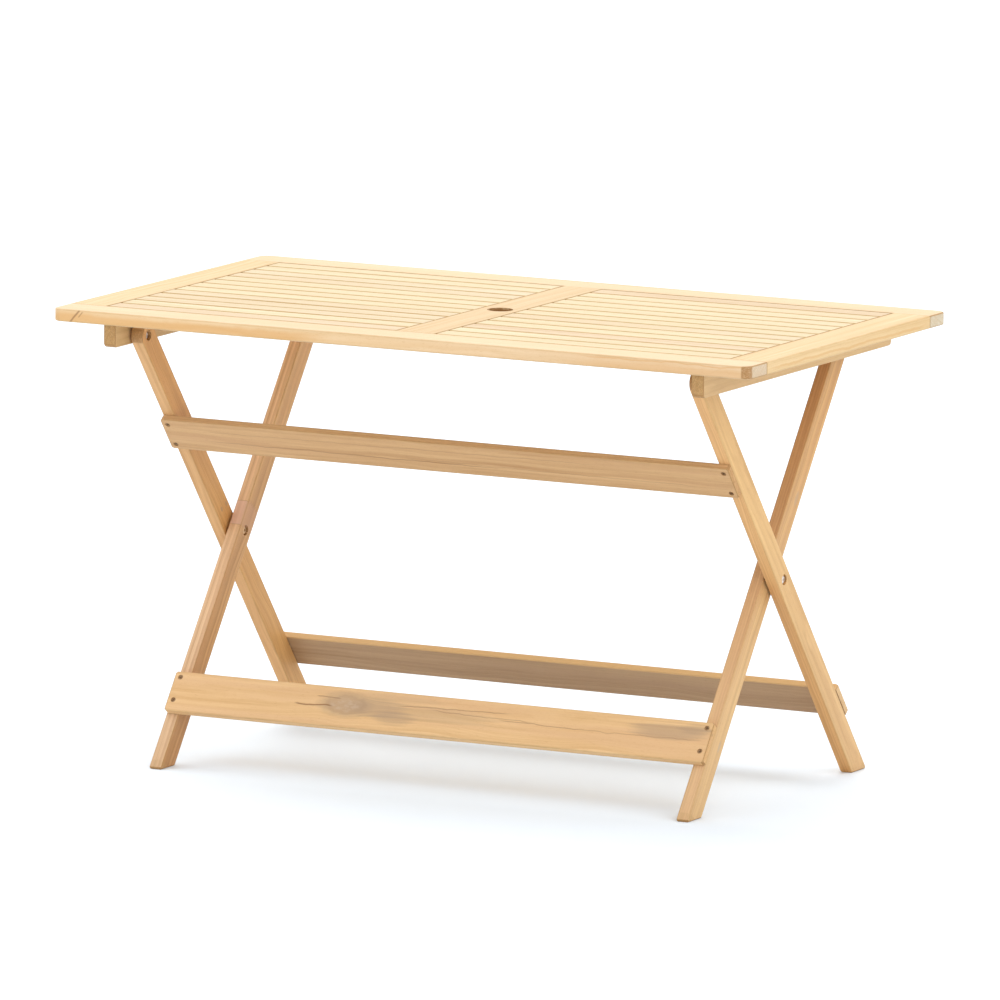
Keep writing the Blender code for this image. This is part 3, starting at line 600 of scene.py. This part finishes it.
    def finish(self):
        """Feed the shader: colour, satin roughness, and the relief of fibres and pores."""
        self.feed(self.shader.inputs["Base Color"], self.colour)
        rough = self.add(self.mul(self.fibre, 0.16), self.mul(self.tone, 0.14))
        rough = self.add(self.add(rough, self.mul(self.pores, 0.15)), self.mul(self.end, 0.18))
        self.feed(self.shader.inputs["Roughness"], self.add(rough, 0.40))
        self.shader.inputs["Specular IOR Level"].default_value = 0.28
        height = self.add(self.mul(self.fibre, 0.5), self.mul(self.grain, 0.25))
        height = self.sub(height, self.mul(self.pores, 0.55))
        self.feed(self.shader.inputs["Normal"], self.bump(height, 0.35, GRAIN_RELIEF))
        return self.material


def wood(name, board, tones, seed, figure=1.0, pith=None, knots=(), veins=(), smudges=(),
         joints=(), edge_wear_and_shade=0.35, bore=0.0, lit_top_edge=0.0, ends=(0.80, 1.02),
         end_hue=(0.97, 0.91, 0.80), face_light_and_tone=None, gap_shade=None, shaded_seams=(), turned_ends=(1.0, 1.0)):
    """Solid wood: growth rings about a wandering pith, fibres, pores, knots and worn edges, with
    painted light and shade on its faces, edges, seams and holes.

    figure is how strongly the grain shows, pith is where the rings' centre is (b, c), and bore
    is the radius of a hole through the board.
    """
    made = Wood(name, board, tones, seed, figure)
    made.bend_round_knots(knots)
    made.planed_wood(pith)
    if lit_top_edge:
        made.paint_top_edge_light(lit_top_edge)
    made.paint_joints(joints)
    made.paint_smudges(smudges)
    made.paint_knots()
    made.paint_veins(veins)
    if face_light_and_tone:
        made.paint_light_on_faces(face_light_and_tone)
    if gap_shade:
        made.paint_slat_side_shade(gap_shade)
    made.paint_seam_shade(shaded_seams)
    made.paint_ends(ends, end_hue, turned_ends)
    made.wear_and_shade_edges(edge_wear_and_shade)
    if bore:
        made.shade_bore(bore)
    return made.finish()


# --------------------------------------------------------------------- steel finishes
# Each set of tones is dark, light and stained.
STEEL_TONES = (rgb(0.68, 0.59, 0.52), rgb(0.90, 0.82, 0.75), rgb(0.45, 0.34, 0.25))
NUT_TONES = (rgb(0.50, 0.30, 0.15), rgb(0.68, 0.45, 0.25), rgb(0.34, 0.18, 0.08))
SCREW_TONES = (rgb(0.26, 0.145, 0.07), rgb(0.42, 0.27, 0.15), rgb(0.15, 0.08, 0.04))
TURNING_MARKS_PER_METRE = 9000
STAINS_PER_METRE = 420
STEEL_RELIEF = 0.00005


def steel(name, seed, axis, centre, tones):
    """Plated steel with turning marks, stains and softer shine in patches."""
    dark, light, stain = tones
    material = bpy.data.materials.new(name)
    n = Nodes(material)
    seat = n.less(n.place["Object"], centre)
    along = n.dot(seat, axis)
    node = n.new("ShaderNodeVectorMath", operation="LENGTH")
    n.feed(node.inputs[0], seat)
    away = node.outputs["Value"]
    marks = n.mul(n.add(away, along), TURNING_MARKS_PER_METRE)
    turning = n.noise_line(n.add(marks, seed), 2.0)
    patch = n.noise(n.combine(*[n.mul(n.dot(seat, way), STAINS_PER_METRE) for way in (X, Y, Z)]))
    colour = n.mix(n.smooth(patch, 0.35, 0.65), dark, light)
    colour = n.mix(n.smooth(patch, 0.60, 0.75, 0.0, 0.6), colour, stain)
    n.feed(n.shader.inputs["Base Color"], colour)
    n.shader.inputs["Metallic"].default_value = 1.0
    rough = n.add(n.mul(patch, 0.25), n.mul(turning, 0.12))
    n.feed(n.shader.inputs["Roughness"], n.add(rough, 0.22))
    n.feed(n.shader.inputs["Normal"], n.bump(n.add(turning, patch), 0.15, STEEL_RELIEF))
    return material


# -------------------------------------------------------------- the wooden CAD boards
BOARD_EASE = 0.0008
STRETCHER_EASE = 0.0006
DOWEL_EASE = 0.0004
EASE_SEGMENTS = 3
WELD_DISTANCE = 1e-6
FLAT_ANGLE = math.radians(0.5)
EDGE_ANGLE = math.radians(28)


def refine(node, finish, ease=BOARD_EASE):
    """Give a CAD board finely rounded edges and its finish; its own mesh stays as it is."""
    piece = NODES[node]
    weld = piece.modifiers.new("weld", "WELD")
    weld.merge_threshold = WELD_DISTANCE
    flat = piece.modifiers.new("join_flats", "DECIMATE")
    flat.decimate_type = "DISSOLVE"
    flat.angle_limit = FLAT_ANGLE
    bevel = piece.modifiers.new("eased_edges", "BEVEL")
    bevel.width = ease
    bevel.segments = EASE_SEGMENTS
    bevel.limit_method = "ANGLE"
    bevel.angle_limit = EDGE_ANGLE
    bevel.harden_normals = False
    normals = piece.modifiers.new("weighted_normals", "WEIGHTED_NORMAL")
    normals.keep_sharp = False
    normals.weight = 100
    piece.data.materials.clear()
    piece.data.materials.append(finish)
    for face in piece.data.polygons:
        face.use_smooth = True


def dress_rails():
    """The two long rails, pale at their ends; the front one has streaks and two marks."""
    rail_ends = {"ends": (0.74, 1.06), "end_hue": (0.90, 0.99, 1.14)}
    streaks = [("edge", (-0.80, -0.003), (-0.10, -0.003), 0.0110, 0.60, VEIN_ORANGE),
               ("edge", (0.28, -0.004), (0.90, -0.003), 0.0090, 0.30, VEIN_ORANGE),
               ("edge", (0.30, 0.0055), (0.70, 0.0075), 0.0016, 0.45, VEIN_ORANGE),
               ("edge", (-0.549, 0.011), (-0.570, -0.012), 0.0022, 0.75, VEIN_BROWN),
               ("edge", (-0.545, 0.008), (-0.553, -0.002), 0.0014, 0.60, VEIN_BROWN)]
    refine("front_rail", wood("front_rail_wood", flat_board("front_rail", X, Y), RAIL_TONES, 11,
                              0.5, (0.035, -0.05), veins=streaks, face_light_and_tone=RAIL_FACE_LIGHT_AND_TONE,
                              turned_ends=(0.1, 1.0), **rail_ends))
    refine("back_rail", wood("back_rail_wood", flat_board("back_rail", X, Y), RAIL_TONES, 12,
                             0.8, **rail_ends))


def dress_cross_boards():
    """The end boards, the centre rail with painted shade in its hole, and the battens under the
    top.
    """
    band = [("edge", (-0.30, 0.002), (0.30, 0.003), 0.0030, 0.5, VEIN_ORANGE)]
    for side_name, side in SIDES:
        node = side_name + "_end_board"
        refine(node, wood(node + "_wood", flat_board(node, Y, X), END_TONES, 20 + side, 0.8,
                          veins=band, shaded_seams=(-side,), face_light_and_tone=END_FACE_LIGHT_AND_TONE))
        node = side_name + "_batten"
        refine(node, wood(node + "_wood", flat_board(node, Y, Z), BATTEN_TONES, 50 + side, 0.8,
                          edge_wear_and_shade=0.25, ends=(0.55, 0.86), end_hue=(1.02, 0.91, 0.77)))
    refine("centre_rail", wood("centre_rail_wood", flat_board("centre_rail", Y, X), CENTRE_TONES,
                               31, 0.8, bore=PARASOL_HOLE_RADIUS, shaded_seams=(-1, 1)))


def dress_slats():
    """Each slat has its own tone and grain, with painted shade on its sides and edges."""
    chance = random.Random(7)
    for side_name, side in SIDES:
        for index in range(SLATS_PER_PANEL):
            node = f"{side_name}_slat_{index + 1:02d}"
            tones = chance.choice((TOP_TONES, YELLOW_TONES, ROSY_TONES, YELLOW_TONES))
            refine(node, wood(node + "_wood", flat_board(node, X, Y), tones,
                              100 + index * 2 + (side > 0), chance.uniform(0.6, 1.0),
                              edge_wear_and_shade=0.5, gap_shade=SLAT_GAP_SHADE))


# What is special to one leg. Heights run along the leg, from the crossing.
LEG_FIGURE = 0.70
LEG_JOINTS = {("left", "inner"): [(0.004, 0.046, rgb(0.52, 0.30, 0.18), 0.55)]}
LEG_SMUDGES = {
    ("left", "outer"): [(0.046, 0.012, 0.006, 0.004, 0.8), (0.050, -0.004, 0.005, 0.003, 0.8)],
    ("right", "inner"): [(-0.292, 0.006, 0.010, 0.004, 0.6), (0.143, 0.004, 0.014, 0.005, 0.6)]}
# Painted light and shade on each leg's narrow and wide faces, partly the wood's own tone, from
# foot to top.
LEG_FACE_LIGHT_AND_TONE = {
    ("left", "outer"): ((1.10, 1.02, 1.03), (1.11, 1.07, 1.15),
                        (0.97, 0.88, 0.77), (1.13, 0.96, 0.76)),
    ("right", "outer"): ((1.08, 0.96, 0.86), (1.14, 1.08, 1.12),
                         (1.01, 1.03, 1.12), (1.07, 1.08, 1.04)),
    ("left", "inner"): ((1.22, 1.36, 1.90), (1.45, 1.48, 1.85),
                        (0.85, 0.74, 0.67), (1.18, 1.13, 1.10)),
    ("right", "inner"): ((1.20, 1.30, 1.60), (0.90, 0.72, 0.66),
                         (1.17, 1.30, 1.42), (1.04, 0.96, 0.84))}


def leg_features(key, middle_height):
    """A leg's painted light and shade per face, partly its own tone, and its joints and smudges
    measured from the leg's own middle.
    """
    return {"joints": [(start - middle_height, end - middle_height, tint, strength)
                       for start, end, tint, strength in LEG_JOINTS.get(key, ())],
            "smudges": [(height - middle_height, *rest)
                        for height, *rest in LEG_SMUDGES.get(key, ())],
            "face_light_and_tone": LEG_FACE_LIGHT_AND_TONE[key]}


def dress_legs():
    half_leg = LEG_THICKNESS / 2
    for side_name, side in SIDES:
        for kind, lean, reach, inner_x, tones in (
                ("outer", OUTER_LEAN, OUTER_REACH, OUTER_LEG_INNER_X, LEG_TONES),
                ("inner", INNER_LEAN, INNER_REACH, INNER_LEG_INNER_X, INNER_LEG_TONES)):
            foot = -CROSSING.z / math.cos(lean)
            length = (reach + LEG_WIDTH / 2 - foot) / 2
            node = f"{side_name}_{kind}_leg"
            board = leaning_board(lean, side * (inner_x + half_leg), 0, foot + length,
                                  (length, LEG_WIDTH / 2, half_leg), True)
            refine(node, wood(node + "_wood", board, tones, 60 + side + 4 * (kind == "inner"),
                              LEG_FIGURE, **leg_features((side_name, kind), foot + length)))


UPPER_FEATURES = {
    "veins": [("face", (-0.44, -0.008), (0.10, -0.012), 0.0014, 0.55, VEIN_BROWN),
              ("face", (-0.10, -0.006), (0.46, -0.013), 0.0011, 0.40, VEIN_BROWN),
              ("face", (-0.46, 0.013), (0.30, 0.017), 0.0012, 0.30, VEIN_BROWN)]}
# The lower back stretcher: painted light on its upper edge, and its end grain lightened 1.40 to
# 1.75 times over its painted-shade tones.
BACK_FEATURES = {"lit_top_edge": 0.9, "ends": (1.40, 1.75), "end_hue": (0.96, 1.02, 0.98),
                 "edge_wear_and_shade": 0.1, "turned_ends": (0.1, 0.1)}
FRONT_FEATURES = {
    "knots": [(-0.160, 0.0045, 0.031, 0.0145)],
    "veins": [("face", (-0.250, -0.001), (-0.180, 0.001), 0.0019, 0.85, VEIN_BROWN),
              ("face", (-0.215, 0.016), (-0.170, 0.014), 0.0013, 0.60, VEIN_BROWN),
              ("face", (-0.080, 0.012), (0.130, 0.016), 0.0013, 0.55, VEIN_BROWN),
              ("face", (-0.020, 0.009), (0.170, 0.004), 0.0011, 0.45, VEIN_BROWN),
              ("face", (0.100, 0.004), (0.260, 0.000), 0.0012, 0.50, VEIN_BROWN),
              ("face", (0.240, 0.000), (0.460, 0.002), 0.0010, 0.40, VEIN_BROWN)],
    "smudges": [(-0.108, 0.003, 0.060, 0.018, 0.60), (-0.072, -0.011, 0.040, 0.013, 0.50),
                (0.000, 0.002, 0.110, 0.015, 0.32), (-0.10, 0.022, 0.10, 0.010, 0.20),
                (0.395, 0.013, 0.070, 0.015, 0.60), (0.440, 0.020, 0.030, 0.010, 0.50)]}


def dress_stretchers():
    """The boards between the legs, on their front (face -1) or back (face 1) edges."""
    near = LEG_WIDTH / 2 + TOUCH_GAP + STRETCHER_THICKNESS / 2
    for node, lean, span, face, inner_x, tones, seed, figure, features in (
            ("upper_front_stretcher", OUTER_LEAN, UPPER_SPAN, -1, OUTER_LEG_INNER_X,
             UPPER_TONES, 71, 0.9, UPPER_FEATURES),
            ("lower_back_stretcher", OUTER_LEAN, LOWER_BACK_SPAN, 1, OUTER_LEG_INNER_X,
             BACK_SHADED_TONES, 72, 0.8, BACK_FEATURES),
            ("lower_front_stretcher", INNER_LEAN, LOWER_FRONT_SPAN, -1, INNER_LEG_INNER_X,
             FRONT_TONES, 73, 0.6, FRONT_FEATURES)):
        half = (inner_x + LEG_THICKNESS, (span[1] - span[0]) / 2, STRETCHER_THICKNESS / 2)
        board = leaning_board(lean, 0, face * near, (span[0] + span[1]) / 2, half, False)
        refine(node, wood(node + "_wood", board, tones, seed, figure, (0.02, 0.06), **features),
               STRETCHER_EASE)


def dress_dowel():
    dowel = flat_board("top_dowel", X, Y)
    refine("top_dowel", wood("dowel_wood", dowel, LEG_TONES, 80, 0.8, edge_wear_and_shade=0.1),
           DOWEL_EASE)


# -------------------------------------------------------------------------- hardware
# The dome is (depth under the head's face, radius), from the middle outwards.
HEAD_RADIUS = 0.0070
HEAD_HEIGHT = 0.0022
HEAD_RIM_RADIUS = 0.0009
HEAD_RIM_DROP = 0.0003
HEAD_DOME = ((0.0, 0.0), (0.00002, 0.0031), (0.0003, 0.0048))
HEAD_UNDERCUT = 0.0002
TOP_HEAD_BORE_DEPTH = 0.0065
CROSSING_HEAD_BORE_DEPTH = 0.0045
SHANK_RADIUS = 0.003
SHANK_CHAMFER = 0.0004
SLEEVE_RADIUS = 0.0044
SLEEVE_LENGTH = 0.0105
SLEEVE_FLOOR = 0.0005
SLEEVE_CLEARANCE = 0.0003
INSERT_LENGTH = 0.012
SPACER_RADIUS = 0.0085
RING_CLEARANCE = 0.0004
RING_CHAMFER = 0.0004
BOLT_END_ROOM = 0.0015
SOCKET_RADIUS = 0.0027
SOCKET_DEPTH = 0.0017
SOCKET_OVERSHOOT = 0.001
ROUND_SIDES = 48
METAL_EASE = 0.00012
METAL_EDGE_ANGLE = math.radians(40)


def head_profile(under):
    """A low domed flange from its middle out to the underside of its rim."""
    face = under - HEAD_HEIGHT
    rim_start = under - HEAD_RIM_RADIUS
    rim = curve((rim_start, HEAD_RADIUS - HEAD_RIM_RADIUS), HEAD_RIM_RADIUS, 180, 90, 4)
    dome = [(face + drop, radius) for drop, radius in HEAD_DOME]
    rim = [(along + HEAD_RIM_DROP * (along < rim_start), radius) for along, radius in rim]
    return dome + rim + [(under, HEAD_RADIUS - HEAD_UNDERCUT)]


def hexagon(depth_from, depth_to, radius):
    return turned([(depth_from, radius), (depth_to, radius)], 6)


def smooth_look(piece):
    """Fine bevels that catch the light along a metal piece's edges."""
    bevel = piece.modifiers.new("eased_edges", "BEVEL")
    bevel.width = METAL_EASE
    bevel.segments = 2
    bevel.limit_method = "ANGLE"
    bevel.angle_limit = METAL_EDGE_ANGLE
    normals = piece.modifiers.new("weighted_normals", "WEIGHTED_NORMAL")
    normals.weight = 100


def bolt_piece(name, kind, head_x, other_x, side, matrix, body, node, seed, tones):
    """A connector bolt, or the cap nut that it screws into, with a hexagon socket."""
    towards = 1 if other_x > head_x else -1
    grip = abs(other_x - head_x)
    under = -TOUCH_GAP
    if kind == "bolt":
        stem = [(under, SHANK_RADIUS), (grip - SHANK_CHAMFER, SHANK_RADIUS),
                (grip, SHANK_RADIUS - SHANK_CHAMFER), (grip, 0)]
    else:
        bore = SHANK_RADIUS + SLEEVE_CLEARANCE
        stem = [(under, SLEEVE_RADIUS), (SLEEVE_LENGTH, SLEEVE_RADIUS), (SLEEVE_LENGTH, bore),
                (SLEEVE_FLOOR, bore), (SLEEVE_FLOOR, 0)]
    finish = steel(name + "_steel", seed, X, matrix @ Vector((side * head_x, 0, 0)), tones)
    piece = make(name, turned(head_profile(under) + stem, ROUND_SIDES), finish)
    face = under - HEAD_HEIGHT
    cut(piece, hexagon(face - SOCKET_OVERSHOOT, face + SOCKET_DEPTH, SOCKET_RADIUS))
    half_turn = 0 if side * towards > 0 else math.pi
    put = Matrix.Translation((side * head_x, 0, 0)) @ Matrix.Rotation(half_turn, 4, "Z")
    place(piece, matrix @ put)
    smooth_look(piece)
    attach(piece, body)
    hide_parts(node)


def ring_piece(name, low_x, high_x, rim, side, matrix, body, node, seed):
    """A washer that two wooden pieces turn against, or the threaded insert in a batten."""
    bore = SHANK_RADIUS + RING_CLEARANCE
    outline = [(low_x, bore), (low_x, rim - RING_CHAMFER), (low_x + RING_CHAMFER, rim),
               (high_x - RING_CHAMFER, rim), (high_x, rim - RING_CHAMFER), (high_x, bore)]
    bm = bmesh.new()
    rings = []
    for along, radius in outline:
        ring = []
        for i in range(ROUND_SIDES):
            angle = 2 * math.pi * i / ROUND_SIDES
            where = (side * along, radius * math.cos(angle), radius * math.sin(angle))
            ring.append(bm.verts.new(where))
        rings.append(ring)
    for first, second in zip(rings, rings[1:] + rings[:1]):
        for i in range(ROUND_SIDES):
            j = (i + 1) % ROUND_SIDES
            bm.faces.new((first[i], first[j], second[j], second[i]))
    bmesh.ops.recalc_face_normals(bm, faces=bm.faces)
    centre = matrix @ Vector((side * (low_x + high_x) / 2, 0, 0))
    piece = make(name, bm, steel(name + "_steel", seed, X, centre, STEEL_TONES))
    place(piece, matrix)
    smooth_look(piece)
    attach(piece, body)
    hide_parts(node)


def make_pivots():
    top = in_frame(OUTER_LEAN) @ Matrix.Translation((0, 0, OUTER_REACH))
    crossing = in_frame(OUTER_LEAN)
    outer = "outer_leg_frame"
    outer_x = OUTER_LEG_INNER_X + LEG_THICKNESS
    inner_outer_x = INNER_LEG_INNER_X + LEG_THICKNESS
    insert_x = BATTEN_INNER_X + TOUCH_GAP
    insert_end = insert_x + INSERT_LENGTH
    outer_seat = outer_x - CROSSING_HEAD_BORE_DEPTH
    inner_seat = INNER_LEG_INNER_X + CROSSING_HEAD_BORE_DEPTH
    for side_name, side in SIDES:
        pivot = side_name + "_top_pivot_"
        bolt_piece(pivot + "bolt_look", "bolt", OUTER_LEG_INNER_X + TOP_HEAD_BORE_DEPTH,
                   insert_end - BOLT_END_ROOM, side, top, outer, pivot + "bolt", 1 + side,
                   STEEL_TONES)
        ring_piece(pivot + "insert_look", insert_x, insert_end, SLEEVE_RADIUS, side, top,
                   "table_top", pivot + "insert", 5 + side)
        ring_piece(pivot + "spacer_look", outer_x + TOUCH_GAP, BATTEN_INNER_X - TOUCH_GAP,
                   SPACER_RADIUS, side, top, outer, pivot + "spacer", 9 + side)
        cross = side_name + "_crossing_"
        bolt_piece(cross + "bolt_look", "bolt", outer_seat, inner_seat + BOLT_END_ROOM, side,
                   crossing, outer, cross + "bolt", 13 + side, STEEL_TONES)
        bolt_piece(cross + "cap_nut_look", "nut", inner_seat, outer_seat, side,
                   in_frame(INNER_LEAN), "inner_leg_frame", cross + "cap_nut", 17 + side,
                   NUT_TONES)
        ring_piece(cross + "spacer_look", inner_outer_x + TOUCH_GAP,
                   OUTER_LEG_INNER_X - TOUCH_GAP, SPACER_RADIUS, side, crossing, outer,
                   cross + "spacer", 21 + side)


# ----------------------------------------------------------------------- wood screws
SCREW_SHANK = 0.0019
SCREW_HEAD = 0.0038
SCREW_LENGTH = 0.0245
SCREW_SINK = 0.0010
SCREW_NECK = 0.004
SCREW_TIP = 0.004
SCREW_SIDES = 24
THREAD_TURNS = 9
THREAD_DEPTH = 0.0005
TIP_DEPTH = 0.0006
HEAD_RIM = 0.0002
PAN_HEAD_HEIGHT = 0.0024
PAN_HEAD_RADIUS = 0.0040
PAN_HEAD_CURVE = 0.0016
PAN_HEAD_SHOULDER = 0.0024
PAN_HEAD_FLAT = 0.0022
PAN_HEAD_ROOM = 0.0026
CROSS_LENGTH = 0.0044
CROSS_WIDTH = 0.0010
CROSS_DEPTH = 0.0015


def wood_screw(name, length, countersunk, finish):
    """A cross-head wood screw along +X, its head's face at 0."""
    if countersunk:
        profile = [(0, 0), (0, SCREW_HEAD - HEAD_RIM), (HEAD_RIM, SCREW_HEAD),
                   (2 * HEAD_RIM, SCREW_HEAD),
                   (2 * HEAD_RIM + SCREW_HEAD - SCREW_SHANK, SCREW_SHANK)]
    else:
        shoulder = curve((PAN_HEAD_CURVE, PAN_HEAD_SHOULDER), PAN_HEAD_CURVE, 180, 90, 4)
        profile = [(0, 0), (0, PAN_HEAD_FLAT)] + shoulder[1:]
        profile += [(PAN_HEAD_HEIGHT, PAN_HEAD_RADIUS), (PAN_HEAD_HEIGHT, SCREW_SHANK)]
    start = profile[-1][0] + SCREW_NECK
    root = SCREW_SHANK - THREAD_DEPTH
    pitch = (length - SCREW_TIP - start) / THREAD_TURNS
    for i in range(THREAD_TURNS):
        profile += [(start + i * pitch, root), (start + (i + 0.35) * pitch, SCREW_SHANK),
                    (start + (i + 0.70) * pitch, root)]
    profile += [(length - SCREW_TIP, SCREW_SHANK - TIP_DEPTH), (length, 0)]
    screw = make(name, turned(profile, SCREW_SIDES), finish)
    for width, height in ((CROSS_LENGTH, CROSS_WIDTH), (CROSS_WIDTH, CROSS_LENGTH)):
        cut(screw, block(CROSS_DEPTH, width, height))
    return screw


def put_screw(original, name, matrix, body):
    mesh = original.data.copy()
    mesh.transform(matrix)
    screw = bpy.data.objects.new(name, mesh)
    bpy.context.collection.objects.link(screw)
    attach(screw, body)


def put_stretcher_screws(original, chance):
    """Two at each end of each stretcher, each turned its own way."""
    far = LEG_WIDTH / 2 + TOUCH_GAP + STRETCHER_THICKNESS
    for label, lean, face, inner_x, heights, body in (
            ("upper", OUTER_LEAN, -1, OUTER_LEG_INNER_X, UPPER_SCREWS, "outer_leg_frame"),
            ("lower_back", OUTER_LEAN, 1, OUTER_LEG_INNER_X, LOWER_BACK_SCREWS,
             "outer_leg_frame"),
            ("lower_front", INNER_LEAN, -1, INNER_LEG_INNER_X, LOWER_FRONT_SCREWS,
             "inner_leg_frame")):
        aim = Matrix.Rotation(-face * math.pi / 2, 4, "Z")
        for side_name, side in SIDES:
            for index, height in enumerate(heights):
                spin = Matrix.Rotation(chance.uniform(0, math.pi), 4, "X")
                spot = Vector((side * (inner_x + LEG_THICKNESS / 2), face * (far - SCREW_SINK),
                               height))
                matrix = in_frame(lean) @ Matrix.Translation(spot) @ aim @ spin
                put_screw(original, f"{label}_{side_name}_screw_{index + 1}", matrix, body)


def put_batten_screws(original, seat, chance):
    """Up through each batten, one into the front rail and one into each slat but the last."""
    front = box("front_rail")[0].y + RAIL_SCREW_INSET
    rows = [front] + [middle(f"right_slat_{index + 1:02d}").y + SLAT_SCREW_OFFSET
                      for index in range(SLATS_PER_PANEL - 1)]
    aim = Matrix.Rotation(-math.pi / 2, 4, "Y")
    for side_name, side in SIDES:
        x = side * (BATTEN_INNER_X + BATTEN_OUTER_X) / 2
        for index, y in enumerate(rows):
            spin = Matrix.Rotation(chance.uniform(0, math.pi), 4, "X")
            matrix = Matrix.Translation((x, y, seat - PAN_HEAD_ROOM)) @ aim @ spin
            put_screw(original, f"{side_name}_batten_screw_{index + 1:02d}", matrix, "table_top")


def make_screws():
    chance = random.Random(3)
    finish = steel("screw_steel", 40, X, Vector((0, 0, 0)), SCREW_TONES)
    long_screw = wood_screw("stretcher_screw", SCREW_LENGTH, True, finish)
    put_stretcher_screws(long_screw, chance)
    seat = BATTEN_UNDERSIDE + COUNTERBORE_DEPTH
    tip = box("front_rail")[1].z - BATTEN_SCREW_TIP_DROP
    short_screw = wood_screw("batten_screw", tip - seat + PAN_HEAD_ROOM, False, finish)
    put_batten_screws(short_screw, seat, chance)
    for original in (long_screw, short_screw):
        bpy.data.objects.remove(original, do_unlink=True)


# ---------------------------------------------------------------------------- studio
CAMERA_AZIMUTH = math.radians(26.92)
CAMERA_ELEVATION = math.radians(8.86)
CAMERA_ROLL = math.radians(0.67)
CAMERA_DISTANCE = 23.2357
CAMERA_LENS = 539.34
CAMERA_SENSOR = 36.0
CAMERA_AIM = Vector((-0.0016, 0.0102, 0.4232))
FLOOR_HALF = 70.0
FLOOR_TONES = (rgb(0.805, 0.86, 0.91), rgb(0.825, 0.88, 0.93))
FLOOR_PATCHES_PER_METRE = 0.8
WORLD_TONE = rgb(0.98, 1.0, 1.03)
WORLD_STRENGTH = 1.12
LAMP_TONE = (1.0, 0.99, 0.98)


def make_floor():
    bm = bmesh.new()
    bmesh.ops.create_grid(bm, x_segments=4, y_segments=4, size=FLOOR_HALF)
    material = bpy.data.materials.new("studio_floor")
    n = Nodes(material)
    spread = [n.mul(n.dot(n.place["Object"], way), FLOOR_PATCHES_PER_METRE) for way in (X, Y, Z)]
    mottle = n.noise(n.combine(*spread), 2.0)
    n.feed(n.shader.inputs["Base Color"], n.mix(mottle, *FLOOR_TONES))
    n.shader.inputs["Roughness"].default_value = 0.9
    n.shader.inputs["Specular IOR Level"].default_value = 0.0
    floor = make("studio_floor", bm, material)


def sun(name, energy, angle, toward):
    """A broad soft light from far away."""
    lamp = bpy.data.lights.new(name, "SUN")
    lamp.energy = energy
    lamp.angle = math.radians(angle)
    lamp.color = LAMP_TONE
    holder = bpy.data.objects.new(name, lamp)
    bpy.context.collection.objects.link(holder)
    holder.rotation_mode = "QUATERNION"
    holder.rotation_quaternion = Vector(toward).to_track_quat("-Z", "Y")


def make_light():
    world = bpy.data.worlds.new("studio")
    bpy.context.scene.world = world
    world.use_nodes = True
    world.node_tree.nodes["Background"].inputs["Color"].default_value = WORLD_TONE
    world.node_tree.nodes["Background"].inputs["Strength"].default_value = WORLD_STRENGTH
    sun("soft_key", 1.2, 50, (0.38, -0.42, -1.0))
    sun("right_fill", 0.7, 60, (-0.75, 0.25, -0.6))
    bpy.context.scene.view_settings.view_transform = "Standard"


def make_camera():
    azimuth, elevation = CAMERA_AZIMUTH, CAMERA_ELEVATION
    back = Vector((math.sin(azimuth) * math.cos(elevation),
                   -math.cos(azimuth) * math.cos(elevation), math.sin(elevation)))
    level = Vector((math.cos(azimuth), math.sin(azimuth), 0))
    rise = back.cross(level)
    right = math.cos(CAMERA_ROLL) * level + math.sin(CAMERA_ROLL) * rise
    up = back.cross(right)
    camera = bpy.data.cameras.new("camera")
    camera.lens = CAMERA_LENS
    camera.sensor_width = CAMERA_SENSOR
    camera.clip_start, camera.clip_end = 1.0, 400.0
    holder = bpy.data.objects.new("camera", camera)
    bpy.context.collection.objects.link(holder)
    where = CAMERA_AIM + CAMERA_DISTANCE * back
    holder.matrix_world = Matrix((
        (right.x, up.x, back.x, where.x), (right.y, up.y, back.y, where.y),
        (right.z, up.z, back.z, where.z), (0, 0, 0, 1)))
    bpy.context.scene.camera = holder


dress_rails()
dress_cross_boards()
dress_slats()
dress_legs()
dress_stretchers()
dress_dowel()
make_pivots()
make_screws()
make_floor()
make_light()
make_camera()
